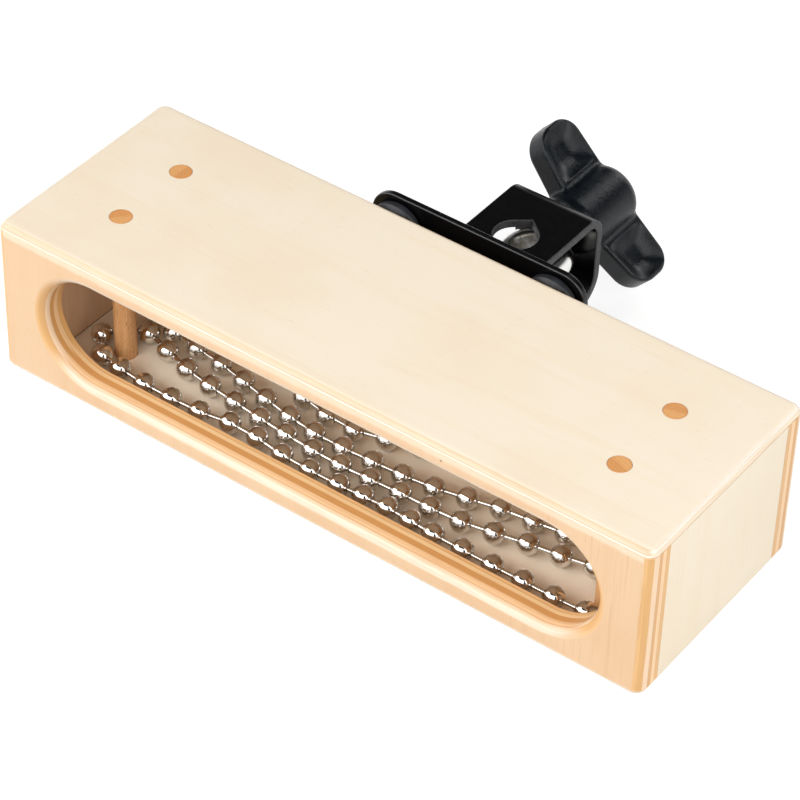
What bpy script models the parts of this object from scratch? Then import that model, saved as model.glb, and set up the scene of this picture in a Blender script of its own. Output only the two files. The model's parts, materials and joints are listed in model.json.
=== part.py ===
"""Hand clap block: a plywood box with a long slot in its front, two loops of ball chain that lie
loose round dowels inside it, and a rod clamp on its back.

Metres, +Z up. The origin is the middle of the underside, the slot faces -Y and the clamp +Y.
"""

import math

import bmesh
import bpy
from mathutils import Vector
from mathutils.geometry import interpolate_bezier

# Wooden box
BOX_LENGTH = 0.2640
BOX_DEPTH = 0.0885
BOX_HEIGHT = 0.0626
BOX_EDGE_RADIUS = 0.0030
COVER_THICKNESS = 0.0024  # top and bottom plate
PANEL_THICKNESS = 0.0100  # front and back panel
END_THICKNESS = 0.0120
GLUE_LINE = 0.0001  # gap between two glued pieces

# Slot in the front panel, with round ends and a rounded outer lip
SLOT_END_MARGIN = 0.0190
SLOT_TOP_MARGIN = 0.0105
SLOT_BOTTOM_MARGIN = 0.0103
SLOT_LIP_RADIUS = 0.0040

# Dowels through both covers
DOWEL_DIAMETER = 0.0080
DOWEL_END_DISTANCE = 0.0312  # box end to dowel axis
DOWEL_ROW_SPACING = 0.0318  # front row to rear row

# Ball chains
BALL_DIAMETER = 0.0080
BALL_PITCH = 0.0120
BUNCHED_PITCH = 0.0097  # where the balls are pushed together
FRONT_BUNCHED = (7, 8, 9, 10, 36, 37, 39)  # balls of the front chain with the next one pushed close
LINK_DIAMETER = 0.0016
CHAIN_LIFT = 0.0002  # gap between a resting ball and the bottom plate
FRONT_WRAP_LEFT = 0.0100  # chain centre line to dowel axis
FRONT_WRAP_RIGHT = 0.0116
REAR_WRAP = 0.0120

# Clamp bracket; each pair of touching pieces keeps the contact gap
CONTACT_GAP = 0.0002
PLATE_RISE = 0.0013  # the plate's middle above the box's middle
GRIP_DROP = 0.0010  # the strap's middle and the bolt's axis below the box's middle
RUBBER_HEIGHT = 0.0049
RUBBER_RIM_DIAMETER = 0.0204
RUBBER_FOOT_DIAMETER = 0.0150
RUBBER_RIM_EDGE = 0.0022
PLATE_LENGTH = 0.0880
PLATE_HEIGHT = 0.0620
PLATE_THICKNESS = 0.0025
PLATE_CORNER_RADIUS = 0.0095
PLATE_EDGE_ROUND = 0.0006
STRAP_WIDTH = 0.0343
STRAP_HEIGHT = 0.0369
STRAP_REACH = 0.0502  # plate to the strap's outer face
STRAP_THICKNESS = 0.0033
STRAP_UPPER_BEND = 0.0080  # outer radius
STRAP_LOWER_BEND = 0.0115
ROD_HOLE_RADIUS = 0.0080
ROD_HOLE_DISTANCE = 0.0212  # plate to the hole's centre
ROD_HOLE_HALF_ANGLE = math.radians(52)  # of the V that grips the rod

# Screws, nuts and washers that hold the plate
SCREW_SPACING_X = 0.0640
SCREW_SPACING_Z = 0.0384
SCREW_DIAMETER = 0.0050
SCREW_CLEARANCE = 0.0003  # all round the shank
SCREW_HEAD_DIAMETER = 0.0095
SCREW_HEAD_HEIGHT = 0.0036
SCREW_RECESS_LENGTH = 0.0052
SCREW_RECESS_WIDTH = 0.0012
SCREW_RECESS_DEPTH = 0.0016
SCREW_END = 0.0015  # stands out of the nut
NUT_ACROSS_FLATS = 0.0080
NUT_HEIGHT = 0.0040
INNER_WASHER_DIAMETER = 0.0100
INNER_WASHER_THICKNESS = 0.0010

# Eye bolt and its wing nut
EYE_INNER_RADIUS = 0.0079
EYE_OUTER_RADIUS = 0.0136
EYE_HEIGHT = 0.0110
EYE_EDGE_ROUND = 0.0022
EYE_WALL_GAP = 0.0004  # eye to the strap's outer wall
SHANK_DIAMETER = 0.0080
SHANK_LENGTH = 0.0260  # beyond the eye
SHANK_CLEARANCE = 0.0003
THRUST_WASHER_DIAMETER = 0.0180
THRUST_WASHER_THICKNESS = 0.0015
INSERT_DIAMETER = 0.0130
INSERT_LENGTH = 0.0150
NUT_TURN = math.radians(137.5)  # direction of the first blade, from +X towards +Z
HUB_RADIUS = 0.0122
HUB_BASE_RADIUS = 0.0095
HUB_BASE_HEIGHT = 0.0030
HUB_LENGTH = 0.0320
HUB_END_ROUND = 0.0055
HUB_END_WALL = 0.0030  # plastic beyond the shank's end
BLADE_TIP_RADIUS = 0.0330
BLADE_NEAR_EDGE = 0.0056  # from the nut's base, where the edge's line meets the axis
BLADE_NEAR_SWEEP = 0.19  # away from the box, per length along the blade
BLADE_FAR_EDGE = 0.0302
BLADE_FAR_SWEEP = 0.035
BLADE_THICKNESS = 0.0095
BLADE_CORNER_RADIUS = 0.0078
BLADE_EDGE_ROUND = 0.0011
POCKET_DEPTH = 0.0014
POCKET_MARGIN = 0.0036  # between the blade's edge and its pocket
POCKET_LENGTH = 0.0160

# Fineness of round shapes
ROUND_SIDES = 32
SMALL_SIDES = 24
CHAIN_SIDES = 8
BALL_RINGS = 5
ARC_STEPS = 6
EDGE_STEPS = 4
CORNER_STEPS = 3
ROUTE_STEPS = 12
CUT_OVER = 0.0020  # how far a cutter stands out of what it cuts
SMOOTH_ANGLE = math.radians(40)

# Places that several pieces share
FRONT_INNER_Y = PANEL_THICKNESS - BOX_DEPTH / 2
DOWEL_X = BOX_LENGTH / 2 - DOWEL_END_DISTANCE
DOWEL_Y = DOWEL_ROW_SPACING / 2
BALL_RADIUS = BALL_DIAMETER / 2
PLATE_FRONT = RUBBER_HEIGHT + 2 * CONTACT_GAP  # the clamp's places are distances behind the box
PLATE_BACK = PLATE_FRONT + PLATE_THICKNESS
STRAP_FACE = PLATE_BACK + STRAP_REACH
STRAP_TOP = STRAP_HEIGHT / 2  # from the bolt's axis
NUT_BASE = STRAP_FACE + THRUST_WASHER_THICKNESS + 2 * CONTACT_GAP
EYE_Y = STRAP_FACE - STRAP_THICKNESS - EYE_WALL_GAP - EYE_OUTER_RADIUS
ALONG_Y = (math.radians(-90), 0, 0)  # turns a piece's own Z towards the back


def srgb(red, green, blue):
    """A colour as seen, 0 to 255, as the linear values that a shader takes."""

    def linear(value):
        value /= 255
        return value / 12.92 if value <= 0.04045 else ((value + 0.055) / 1.055) ** 2.4

    return (linear(red), linear(green), linear(blue), 1)


def finish(name, colour, roughness, metallic=0.0):
    material = bpy.data.materials.new(name)
    material.use_nodes = True
    shader = material.node_tree.nodes["Principled BSDF"]
    shader.inputs["Base Color"].default_value = colour
    shader.inputs["Roughness"].default_value = roughness
    shader.inputs["Metallic"].default_value = metallic
    return material


def make_finishes():
    return {
        "plywood": finish("plywood", srgb(246, 226, 196), 0.45),
        "dowel": finish("dowel", srgb(222, 168, 112), 0.50),
        "nickel": finish("nickel", srgb(205, 203, 200), 0.15, 1.0),
        "black_steel": finish("black_steel", srgb(16, 16, 17), 0.25),
        "rubber": finish("rubber", srgb(44, 45, 48), 0.60),
        "zinc": finish("zinc", srgb(190, 190, 188), 0.30, 1.0),
        "plastic": finish("plastic", srgb(36, 39, 44), 0.50),
    }


def place(name, mesh, material=None, location=(0, 0, 0), rotation=(0, 0, 0), parent=None):
    """Adds the mesh as an object; without a material it is a cutter."""
    thing = bpy.data.objects.new(name, mesh)
    bpy.context.scene.collection.objects.link(thing)
    thing.location = location
    thing.rotation_euler = rotation
    thing.parent = parent
    if material:
        mesh.materials.append(material)
    else:
        thing.hide_render = True
        thing.display_type = "WIRE"
    return thing


def empty(name, location=(0, 0, 0)):
    anchor = bpy.data.objects.new(name, None)
    bpy.context.scene.collection.objects.link(anchor)
    anchor.location = location
    return anchor


def boolean(target, cutter, operation="DIFFERENCE"):
    modifier = target.modifiers.new(cutter.name, "BOOLEAN")
    modifier.operation = operation
    modifier.object = cutter


def to_mesh(name, bm):
    bmesh.ops.recalc_face_normals(bm, faces=bm.faces)
    mesh = bpy.data.meshes.new(name)
    bm.to_mesh(mesh)
    bm.free()
    return mesh


def loft(name, rings, closed=False):
    """Skin through rings of equally many points. A path that isn't closed ends in flat caps."""
    bm = bmesh.new()
    loops = [[bm.verts.new(point) for point in ring] for ring in rings]
    pairs = list(zip(loops, loops[1:]))
    if closed:
        pairs.append((loops[-1], loops[0]))
    else:
        bm.faces.new(loops[0])
        bm.faces.new(loops[-1])
    for low, high in pairs:
        for i in range(len(low)):
            j = (i + 1) % len(low)
            bm.faces.new((low[i], low[j], high[j], high[i]))
    mesh = to_mesh(name, bm)
    mesh.shade_smooth()
    mesh.set_sharp_from_angle(angle=SMOOTH_ANGLE)
    return mesh


def arc(centre, radius, start, end, steps):
    """Points of an arc in a plane, both ends included."""
    angles = [start + (end - start) * i / steps for i in range(steps + 1)]
    return [(centre[0] + radius * math.cos(a), centre[1] + radius * math.sin(a)) for a in angles]


def turned(name, profile, closed=False, sides=ROUND_SIDES):
    """A turned shape about Z, through (radius, height) points."""
    turns = [2 * math.pi * i / sides for i in range(sides)]
    rings = [[Vector((r * math.cos(t), r * math.sin(t), z)) for t in turns] for r, z in profile]
    return loft(name, rings, closed)


def washer(name, bore_radius, radius, thickness):
    profile = [(bore_radius, 0), (radius, 0), (radius, thickness), (bore_radius, thickness)]
    return turned(name, profile, closed=True, sides=SMALL_SIDES)


def block(name, low, high):
    """A plain box between two corners."""
    bm = bmesh.new()
    bmesh.ops.create_cube(bm, size=1)
    size = [b - a for a, b in zip(low, high)]
    middle = [(a + b) / 2 for a, b in zip(low, high)]
    bmesh.ops.scale(bm, vec=size, verts=bm.verts)
    bmesh.ops.translate(bm, vec=middle, verts=bm.verts)
    return to_mesh(name, bm)


def rounded_box(name):
    """The whole wooden box, solid, with all its outer edges rounded."""
    bm = bmesh.new()
    bmesh.ops.create_cube(bm, size=1)
    bmesh.ops.scale(bm, vec=(BOX_LENGTH, BOX_DEPTH, BOX_HEIGHT), verts=bm.verts)
    bmesh.ops.translate(bm, vec=(0, 0, BOX_HEIGHT / 2), verts=bm.verts)
    bmesh.ops.bevel(
        bm,
        geom=bm.edges[:],
        offset=BOX_EDGE_RADIUS,
        segments=EDGE_STEPS,
        profile=0.5,
        affect="EDGES",
        clamp_overlap=True,
    )
    return to_mesh(name, bm)


def box_piece(name, low, high, material, parent):
    """The part of the rounded box that lies between two corners."""
    piece = place(name, rounded_box(name), material, parent=parent)
    boolean(piece, place(name + "_share", block(name + "_share", low, high)), "INTERSECT")
    return piece


def rounded_rectangle(half_width, half_height, radius, steps):
    """Corner points of a rectangle with round corners, anticlockwise."""
    points = []
    for quarter, (side, level) in enumerate(((1, 1), (-1, 1), (-1, -1), (1, -1))):
        centre = (side * (half_width - radius), level * (half_height - radius))
        start = quarter * math.pi / 2
        points += arc(centre, radius, start, start + math.pi / 2, steps)
    return points


def slot_cutter():
    """A long round-ended plug that flares at the front face to leave a rounded lip."""
    half_height = (BOX_HEIGHT - SLOT_TOP_MARGIN - SLOT_BOTTOM_MARGIN) / 2
    middle = SLOT_BOTTOM_MARGIN + half_height
    straight = BOX_LENGTH / 2 - SLOT_END_MARGIN - half_height
    front = -BOX_DEPTH / 2
    sections = [(front - CUT_OVER, SLOT_LIP_RADIUS)]
    for i in range(EDGE_STEPS + 1):
        turn = math.pi / 2 * i / EDGE_STEPS
        flare = SLOT_LIP_RADIUS * (1 - math.sin(turn))
        sections.append((front + SLOT_LIP_RADIUS * (1 - math.cos(turn)), flare))
    sections.append((FRONT_INNER_Y + CUT_OVER, 0))
    rings = []
    for y, flare in sections:
        radius = half_height + flare
        outline = arc((straight, middle), radius, -math.pi / 2, math.pi / 2, ROUND_SIDES // 2)
        outline += arc((-straight, middle), radius, math.pi / 2, 3 * math.pi / 2, ROUND_SIDES // 2)
        rings.append([Vector((x, y, z)) for x, z in outline])
    return place("slot_cutter", loft("slot_cutter", rings))


def add_box(finishes):
    """Six plywood pieces and the four dowels."""
    box = empty("box")
    wood = finishes["plywood"]
    out_x = BOX_LENGTH / 2 + CUT_OVER
    out_y = BOX_DEPTH / 2 + CUT_OVER
    top = BOX_HEIGHT - COVER_THICKNESS
    low = COVER_THICKNESS + GLUE_LINE
    high = top - GLUE_LINE
    inner_x = BOX_LENGTH / 2 - END_THICKNESS
    end_y = -FRONT_INNER_Y - GLUE_LINE

    under = -CUT_OVER
    over = BOX_HEIGHT + CUT_OVER
    covers = [
        box_piece("top_plate", (-out_x, -out_y, top), (out_x, out_y, over), wood, box),
        box_piece("bottom_plate", (-out_x, -out_y, under), (out_x, out_y, COVER_THICKNESS), wood, box),
    ]
    front = box_piece("front_panel", (-out_x, -out_y, low), (out_x, FRONT_INNER_Y, high), wood, box)
    boolean(front, slot_cutter())
    back = box_piece("back_panel", (-out_x, -FRONT_INNER_Y, low), (out_x, out_y, high), wood, box)
    box_piece("left_end_panel", (-out_x, -end_y, low), (-inner_x, end_y, high), wood, box)
    box_piece("right_end_panel", (inner_x, -end_y, low), (out_x, end_y, high), wood, box)

    radius = DOWEL_DIAMETER / 2
    bore = radius + GLUE_LINE
    for row, y in (("front", -DOWEL_Y), ("rear", DOWEL_Y)):
        for side, x in (("left", -DOWEL_X), ("right", DOWEL_X)):
            name = f"dowel_{row}_{side}"
            stick = turned(name, [(radius, 0), (radius, BOX_HEIGHT)], sides=SMALL_SIDES)
            place(name, stick, finishes["dowel"], (x, y, 0), parent=box)
            plug = turned(name + "_hole", [(bore, under), (bore, over)], sides=SMALL_SIDES)
            hole = place(name + "_hole", plug, location=(x, y, 0), parent=box)
            for cover in covers:
                boolean(cover, hole)
    return back


def around_dowel(side, row, radius, start, end):
    """Route points of a chain that wraps a dowel, from one direction to another in degrees."""
    centre = (side * DOWEL_X, row * DOWEL_Y)
    return arc(centre, radius, math.radians(start), math.radians(end), ARC_STEPS)


def front_chain_route():
    """Along the front panel, round the right dowel, back through the middle, round the left dowel."""
    nearest = FRONT_INNER_Y + BALL_RADIUS
    wall_run = [  # along the box, and the gap to the front panel
        (-0.0820, 0.0018),
        (-0.0580, 0.0022),
        (-0.0460, 0.0042),
        (-0.0340, 0.0038),
        (-0.0220, 0.0022),
        (0.0020, 0.0020),
        (0.0205, 0.0031),
        (0.0410, 0.0021),
        (0.0770, 0.0020),
    ]
    middle_run = [
        (0.0904, -0.0086),
        (0.0672, -0.0128),
        (0.0438, -0.0177),
        (0.0197, -0.0188),
        (-0.0043, -0.0201),
        (-0.0282, -0.0190),
        (-0.0514, -0.0167),
        (-0.0749, -0.0135),
    ]
    return (
        [(x, nearest + gap) for x, gap in wall_run]
        + around_dowel(1, -1, FRONT_WRAP_RIGHT, -90, 105)
        + middle_run
        + around_dowel(-1, -1, FRONT_WRAP_LEFT, 72, 252)
    )


def rear_chain_route():
    """In front of both rear dowels, round the right one, back in a bow, round the left one."""
    front_run = [
        (-0.0915, -0.0006),
        (-0.0679, -0.0038),
        (-0.0452, -0.0086),
        (-0.0212, -0.0125),
        (0.0019, -0.0121),
        (0.0264, -0.0100),
        (0.0503, -0.0046),
        (0.0738, -0.0014),
        (0.0880, 0.0025),
    ]
    bow = [
        (0.0750, 0.0245),
        (0.0500, 0.0170),
        (0.0240, 0.0080),
        (0.0010, 0.0000),
        (-0.0100, -0.0030),
        (-0.0220, -0.0027),
        (-0.0330, -0.0008),
        (-0.0500, 0.0070),
        (-0.0750, 0.0200),
    ]
    return (
        front_run
        + around_dowel(1, 1, REAR_WRAP, -40, 90)
        + bow
        + around_dowel(-1, 1, REAR_WRAP, 90, 260)
    )


def smooth_loop(points):
    """Close points along a smooth closed curve through the route's points."""
    knots = [Vector(point) for point in points]
    count = len(knots)
    path = []
    for i in range(count):
        before, start, end, after = (knots[(i + k) % count] for k in (-1, 0, 1, 2))
        reach = (end - start).length / 3
        leave = start + (end - before).normalized() * reach
        arrive = end - (after - start).normalized() * reach
        path += interpolate_bezier(start, leave, arrive, end, ROUTE_STEPS + 1)[:-1]
    return path


def ball_places(path, bunched):
    """Ball centres and directions along a closed path, closer together after the bunched balls."""
    ends = path[1:] + path[:1]
    lengths = [(b - a).length for a, b in zip(path, ends)]
    free = sum(lengths) - len(bunched) * BUNCHED_PITCH
    count = round(free / BALL_PITCH)
    places = []
    station = 0
    travelled = 0
    piece = 0
    for ball in range(count + len(bunched)):
        while travelled + lengths[piece] < station:
            travelled += lengths[piece]
            piece += 1
        direction = (ends[piece] - path[piece]).normalized()
        places.append((path[piece] + direction * (station - travelled), direction))
        station += BUNCHED_PITCH if ball in bunched else free / count
    return places


def add_chain(name, route, bunched, material):
    """One closed beaded loop: every ball is a few rings, and thin links join them."""
    neck = math.asin(LINK_DIAMETER / BALL_DIAMETER)
    bends = [neck + (math.pi - 2 * neck) * i / (BALL_RINGS - 1) for i in range(BALL_RINGS)]
    turns = [2 * math.pi * i / CHAIN_SIDES for i in range(CHAIN_SIDES)]
    up = Vector((0, 0, 1))
    rings = []
    for centre, direction in ball_places(smooth_loop(route), bunched):
        along = direction.to_3d()
        across = up.cross(along)
        for bend in bends:
            middle = centre.to_3d() - along * BALL_RADIUS * math.cos(bend)
            radius = BALL_RADIUS * math.sin(bend)
            rings.append([middle + radius * (across * math.cos(t) + up * math.sin(t)) for t in turns])
    height = COVER_THICKNESS + CHAIN_LIFT + BALL_RADIUS
    place(name, loft(name, rings, closed=True), material, (0, 0, height))


def add_plate(finishes, bracket):
    """The plate that stands off the back on rubber washers."""
    rings = []
    for inset, depth in (
        (PLATE_EDGE_ROUND, 0),
        (0, PLATE_EDGE_ROUND),
        (0, PLATE_THICKNESS - PLATE_EDGE_ROUND),
        (PLATE_EDGE_ROUND, PLATE_THICKNESS),
    ):
        size = (PLATE_LENGTH / 2 - inset, PLATE_HEIGHT / 2 - inset)
        outline = rounded_rectangle(*size, PLATE_CORNER_RADIUS - inset, ARC_STEPS)
        rings.append([Vector((x, depth, z)) for x, z in outline])
    return place(
        "mounting_plate",
        loft("mounting_plate", rings),
        finishes["black_steel"],
        (0, PLATE_FRONT, 0),
        parent=bracket,
    )


def strap_side(inset):
    """One side of the strap's bent sheet as (distance, height) points, from top leg to bottom leg."""
    start = PLATE_BACK + CONTACT_GAP
    top = STRAP_TOP
    upper = (STRAP_FACE - STRAP_UPPER_BEND, top - STRAP_UPPER_BEND)
    lower = (STRAP_FACE - STRAP_LOWER_BEND, STRAP_LOWER_BEND - top)
    return (
        [(start, top - inset)]
        + arc(upper, STRAP_UPPER_BEND - inset, math.pi / 2, 0, ARC_STEPS)
        + arc(lower, STRAP_LOWER_BEND - inset, 0, -math.pi / 2, ARC_STEPS)
        + [(start, inset - top)]
    )


def rod_hole_outline():
    """A round hole that runs out into a V on the side away from the box."""
    tangent = math.pi / 2 - ROD_HOLE_HALF_ANGLE
    start = math.pi / 2 + tangent
    end = math.pi / 2 - tangent + 2 * math.pi
    apex = (0, ROD_HOLE_RADIUS / math.sin(ROD_HOLE_HALF_ANGLE))
    return arc((0, 0), ROD_HOLE_RADIUS, start, end, SMALL_SIDES) + [apex]


def add_strap(finishes, clamp):
    """The U of bent sheet, with a rod hole in each leg and the shank's hole in its outer wall."""
    outline = strap_side(0) + strap_side(STRAP_THICKNESS)[::-1]
    rings = [[Vector((x, y, z)) for y, z in outline] for x in (-STRAP_WIDTH / 2, STRAP_WIDTH / 2)]
    strap = place("clamp_strap", loft("clamp_strap", rings), finishes["black_steel"], parent=clamp)

    reach = STRAP_TOP + CUT_OVER
    hole = [[Vector((x, y, z)) for x, y in rod_hole_outline()] for z in (-reach, reach)]
    centre = (0, PLATE_BACK + ROD_HOLE_DISTANCE, 0)
    boolean(strap, place("rod_hole", loft("rod_hole", hole), location=centre, parent=clamp))

    bore = SHANK_DIAMETER / 2 + SHANK_CLEARANCE
    plug = turned("shank_hole", [(bore, 0), (bore, STRAP_THICKNESS + 2 * CUT_OVER)], sides=SMALL_SIDES)
    start = (0, STRAP_FACE - STRAP_THICKNESS - CUT_OVER, 0)
    boolean(strap, place("shank_hole", plug, location=start, rotation=ALONG_Y, parent=clamp))


def add_fixings(finishes, bracket, plate, back_panel):
    """At each corner: rubber washer, screw, and the washer and nut inside the box."""
    radius = SCREW_DIAMETER / 2
    bore = radius + SCREW_CLEARANCE
    washer_seat = -PANEL_THICKNESS - CONTACT_GAP
    nut_seat = washer_seat - INNER_WASHER_THICKNESS - CONTACT_GAP
    tip = nut_seat - NUT_HEIGHT - SCREW_END
    head_seat = PLATE_BACK + CONTACT_GAP
    for level, z in (("upper", SCREW_SPACING_Z / 2), ("lower", -SCREW_SPACING_Z / 2)):
        for side, x in (("left", -SCREW_SPACING_X / 2), ("right", SCREW_SPACING_X / 2)):
            corner = f"{level}_{side}"

            def fit(kind, mesh, material, y):
                return place(f"{kind}_{corner}", mesh, material, (x, y, z), ALONG_Y, bracket)

            plug = turned("screw_hole", [(bore, tip - CUT_OVER), (bore, head_seat)], sides=SMALL_SIDES)
            hole = fit("screw_hole", plug, None, 0)
            boolean(plate, hole)
            boolean(back_panel, hole)
            fit("rubber_washer", rubber_mesh(bore), finishes["rubber"], CONTACT_GAP)
            screw = fit("bracket_screw", screw_mesh(head_seat - tip), finishes["zinc"], head_seat)
            add_cross_recess(screw)
            inner = washer("inner_washer", bore, INNER_WASHER_DIAMETER / 2, INNER_WASHER_THICKNESS)
            fit("inner_washer", inner, finishes["zinc"], washer_seat - INNER_WASHER_THICKNESS)
            fit("inner_nut", nut_mesh(bore), finishes["zinc"], nut_seat - NUT_HEIGHT)


def rubber_mesh(bore):
    """A dished washer: narrow foot on the wood, wide rim under the plate."""
    foot = RUBBER_FOOT_DIAMETER / 2
    rim = RUBBER_RIM_DIAMETER / 2
    profile = [
        (bore, 0),
        (foot, 0),
        (rim, RUBBER_HEIGHT - RUBBER_RIM_EDGE),
        (rim, RUBBER_HEIGHT),
        (bore, RUBBER_HEIGHT),
    ]
    return turned("rubber_washer", profile, closed=True, sides=SMALL_SIDES)


def screw_mesh(length):
    """A pan-head machine screw, its head's underside at height 0 and its shank below."""
    shank = SCREW_DIAMETER / 2
    head = SCREW_HEAD_DIAMETER / 2
    round_off = SCREW_HEAD_HEIGHT / 2
    profile = [(shank, -length), (shank, 0), (head, 0)]
    profile += arc((head - round_off, round_off), round_off, 0, math.pi / 2, EDGE_STEPS)
    return turned("bracket_screw", profile, sides=SMALL_SIDES)


def add_cross_recess(screw):
    """Two crossing slots in the top of a screw's head."""
    half_length = SCREW_RECESS_LENGTH / 2
    half_width = SCREW_RECESS_WIDTH / 2
    low = SCREW_HEAD_HEIGHT - SCREW_RECESS_DEPTH
    high = SCREW_HEAD_HEIGHT + CUT_OVER
    for direction, turn in (("first", 0), ("second", math.pi / 2)):
        slot = block("screw_recess", (-half_length, -half_width, low), (half_length, half_width, high))
        name = f"{screw.name}_recess_{direction}"
        boolean(screw, place(name, slot, rotation=(0, 0, turn), parent=screw))


def nut_mesh(bore):
    """A hexagon nut."""
    turns = [2 * math.pi * i / SMALL_SIDES for i in range(SMALL_SIDES)]
    sixth = math.pi / 3
    flat = NUT_ACROSS_FLATS / 2
    rings = []
    for height, outside in ((0, False), (0, True), (NUT_HEIGHT, True), (NUT_HEIGHT, False)):
        ring = []
        for turn in turns:
            radius = flat / math.cos((turn + sixth / 2) % sixth - sixth / 2) if outside else bore
            ring.append(Vector((radius * math.cos(turn), radius * math.sin(turn), height)))
        rings.append(ring)
    return loft("inner_nut", rings, closed=True)


def add_eye_bolt(finishes, clamp):
    """A ring round the rod's place, with a shank out through the strap's wall."""
    middle = (EYE_INNER_RADIUS + EYE_OUTER_RADIUS) / 2
    section = rounded_rectangle(EYE_OUTER_RADIUS - middle, EYE_HEIGHT / 2, EYE_EDGE_ROUND, CORNER_STEPS)
    eye = turned("eye_bolt", [(middle + r, z) for r, z in section], closed=True)
    bolt = place("eye_bolt", eye, finishes["nickel"], (0, EYE_Y, 0), parent=clamp)

    radius = SHANK_DIAMETER / 2
    end = EYE_OUTER_RADIUS + SHANK_LENGTH
    chamfer = radius / 4
    profile = [(radius, middle), (radius, end - chamfer), (radius - chamfer, end)]
    shank = turned("eye_shank", profile, sides=SMALL_SIDES)
    boolean(bolt, place("eye_shank", shank, rotation=ALONG_Y, parent=bolt), "UNION")


def blade_outline(inset):
    """A blade seen on its broad side, as (radius, height) points from hub to tip and back."""
    root = (HUB_RADIUS + INSERT_DIAMETER / 2) / 2
    shoulder = BLADE_TIP_RADIUS - BLADE_CORNER_RADIUS
    points = []
    for edge, sweep, side in (
        (BLADE_FAR_EDGE, BLADE_FAR_SWEEP, 1),
        (BLADE_NEAR_EDGE, BLADE_NEAR_SWEEP, -1),
    ):
        slant = side * math.hypot(1, sweep)
        start = (root, edge + sweep * root - slant * inset)
        centre = (shoulder, edge + sweep * shoulder - slant * BLADE_CORNER_RADIUS)
        square = side * math.pi / 2 + math.atan(sweep)
        half = [start] + arc(centre, BLADE_CORNER_RADIUS - inset, square, 0, ARC_STEPS)
        points += half[::side]
    return points


def blade_mesh():
    """One blade along X, its edges rounded."""
    half = BLADE_THICKNESS / 2
    rings = []
    for inset, y in (
        (BLADE_EDGE_ROUND, -half),
        (0, BLADE_EDGE_ROUND - half),
        (0, half - BLADE_EDGE_ROUND),
        (BLADE_EDGE_ROUND, half),
    ):
        rings.append([Vector((r, y, z)) for r, z in blade_outline(inset)])
    return loft("blade", rings)


def pocket_mesh():
    """The shallow oval hollow in a blade's broad face."""
    centre = BLADE_TIP_RADIUS - POCKET_MARGIN - POCKET_LENGTH / 2
    near = BLADE_NEAR_EDGE + BLADE_NEAR_SWEEP * centre
    far = BLADE_FAR_EDGE + BLADE_FAR_SWEEP * centre
    half_width = (far - near) / 2 - POCKET_MARGIN
    height = (near + far) / 2
    floor = BLADE_THICKNESS / 2 - POCKET_DEPTH
    turns = [2 * math.pi * i / SMALL_SIDES for i in range(SMALL_SIDES)]
    rings = []
    for y in (floor, floor + 2 * POCKET_DEPTH):
        oval = [
            (centre + POCKET_LENGTH / 2 * math.cos(t), height + half_width * math.sin(t)) for t in turns
        ]
        rings.append([Vector((r, y, z)) for r, z in oval])
    return loft("pocket", rings)


def add_wing_nut(finishes, clamp):
    """A plastic hub with two blades, on a steel insert and a thrust washer."""
    thrust = washer(
        "thrust_washer",
        SHANK_DIAMETER / 2 + SHANK_CLEARANCE,
        THRUST_WASHER_DIAMETER / 2,
        THRUST_WASHER_THICKNESS,
    )
    seat = (0, STRAP_FACE + CONTACT_GAP, 0)
    place("thrust_washer", thrust, finishes["zinc"], seat, ALONG_Y, clamp)

    bore = SHANK_DIAMETER / 2 + SHANK_CLEARANCE
    axis = empty("wing_nut_axis", (0, NUT_BASE, 0))
    axis.rotation_euler = (math.radians(-90), -NUT_TURN, 0)
    axis.parent = clamp
    insert = washer("wing_nut_insert", bore, INSERT_DIAMETER / 2, INSERT_LENGTH)
    place("wing_nut_insert", insert, finishes["zinc"], parent=axis)

    pocket = INSERT_DIAMETER / 2 + CONTACT_GAP
    pocket_end = INSERT_LENGTH + CONTACT_GAP
    shank_end = EYE_Y + EYE_OUTER_RADIUS + SHANK_LENGTH - NUT_BASE
    bore_end = max(shank_end, pocket_end) + CONTACT_GAP
    length = max(HUB_LENGTH, bore_end + HUB_END_WALL)
    profile = [
        (bore, bore_end),
        (bore, pocket_end),
        (pocket, pocket_end),
        (pocket, 0),
        (HUB_BASE_RADIUS, 0),
        (HUB_RADIUS, HUB_BASE_HEIGHT),
    ]
    dome = (HUB_RADIUS - HUB_END_ROUND, length - HUB_END_ROUND)
    profile += arc(dome, HUB_END_ROUND, 0, math.pi / 2, ARC_STEPS)
    hub = place("wing_nut", turned("wing_nut", profile), finishes["plastic"], parent=axis)
    for blade, turn in (("first", 0), ("second", math.pi)):
        wing = place(f"blade_{blade}", blade_mesh(), rotation=(0, 0, turn), parent=axis)
        boolean(hub, wing, "UNION")
    for blade, turn in (("first", 0), ("second", math.pi)):
        for face, flip in (("upper", 1), ("lower", -1)):
            oval = pocket_mesh()
            if flip < 0:
                for vertex in oval.vertices:
                    vertex.co.y *= flip
                oval.flip_normals()
            boolean(hub, place(f"pocket_{blade}_{face}", oval, rotation=(0, 0, turn), parent=axis))


def main():
    for thing in list(bpy.data.objects):
        bpy.data.objects.remove(thing, do_unlink=True)
    finishes = make_finishes()
    back_panel = add_box(finishes)
    add_chain("front_chain", front_chain_route(), FRONT_BUNCHED, finishes["nickel"])
    add_chain("rear_chain", rear_chain_route(), (), finishes["nickel"])
    bracket = empty("bracket", (0, BOX_DEPTH / 2, BOX_HEIGHT / 2 + PLATE_RISE))
    plate = add_plate(finishes, bracket)
    add_fixings(finishes, bracket, plate, back_panel)
    clamp = empty("clamp", (0, BOX_DEPTH / 2, BOX_HEIGHT / 2 - GRIP_DROP))
    add_strap(finishes, clamp)
    add_eye_bolt(finishes, clamp)
    add_wing_nut(finishes, clamp)


main()
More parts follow.
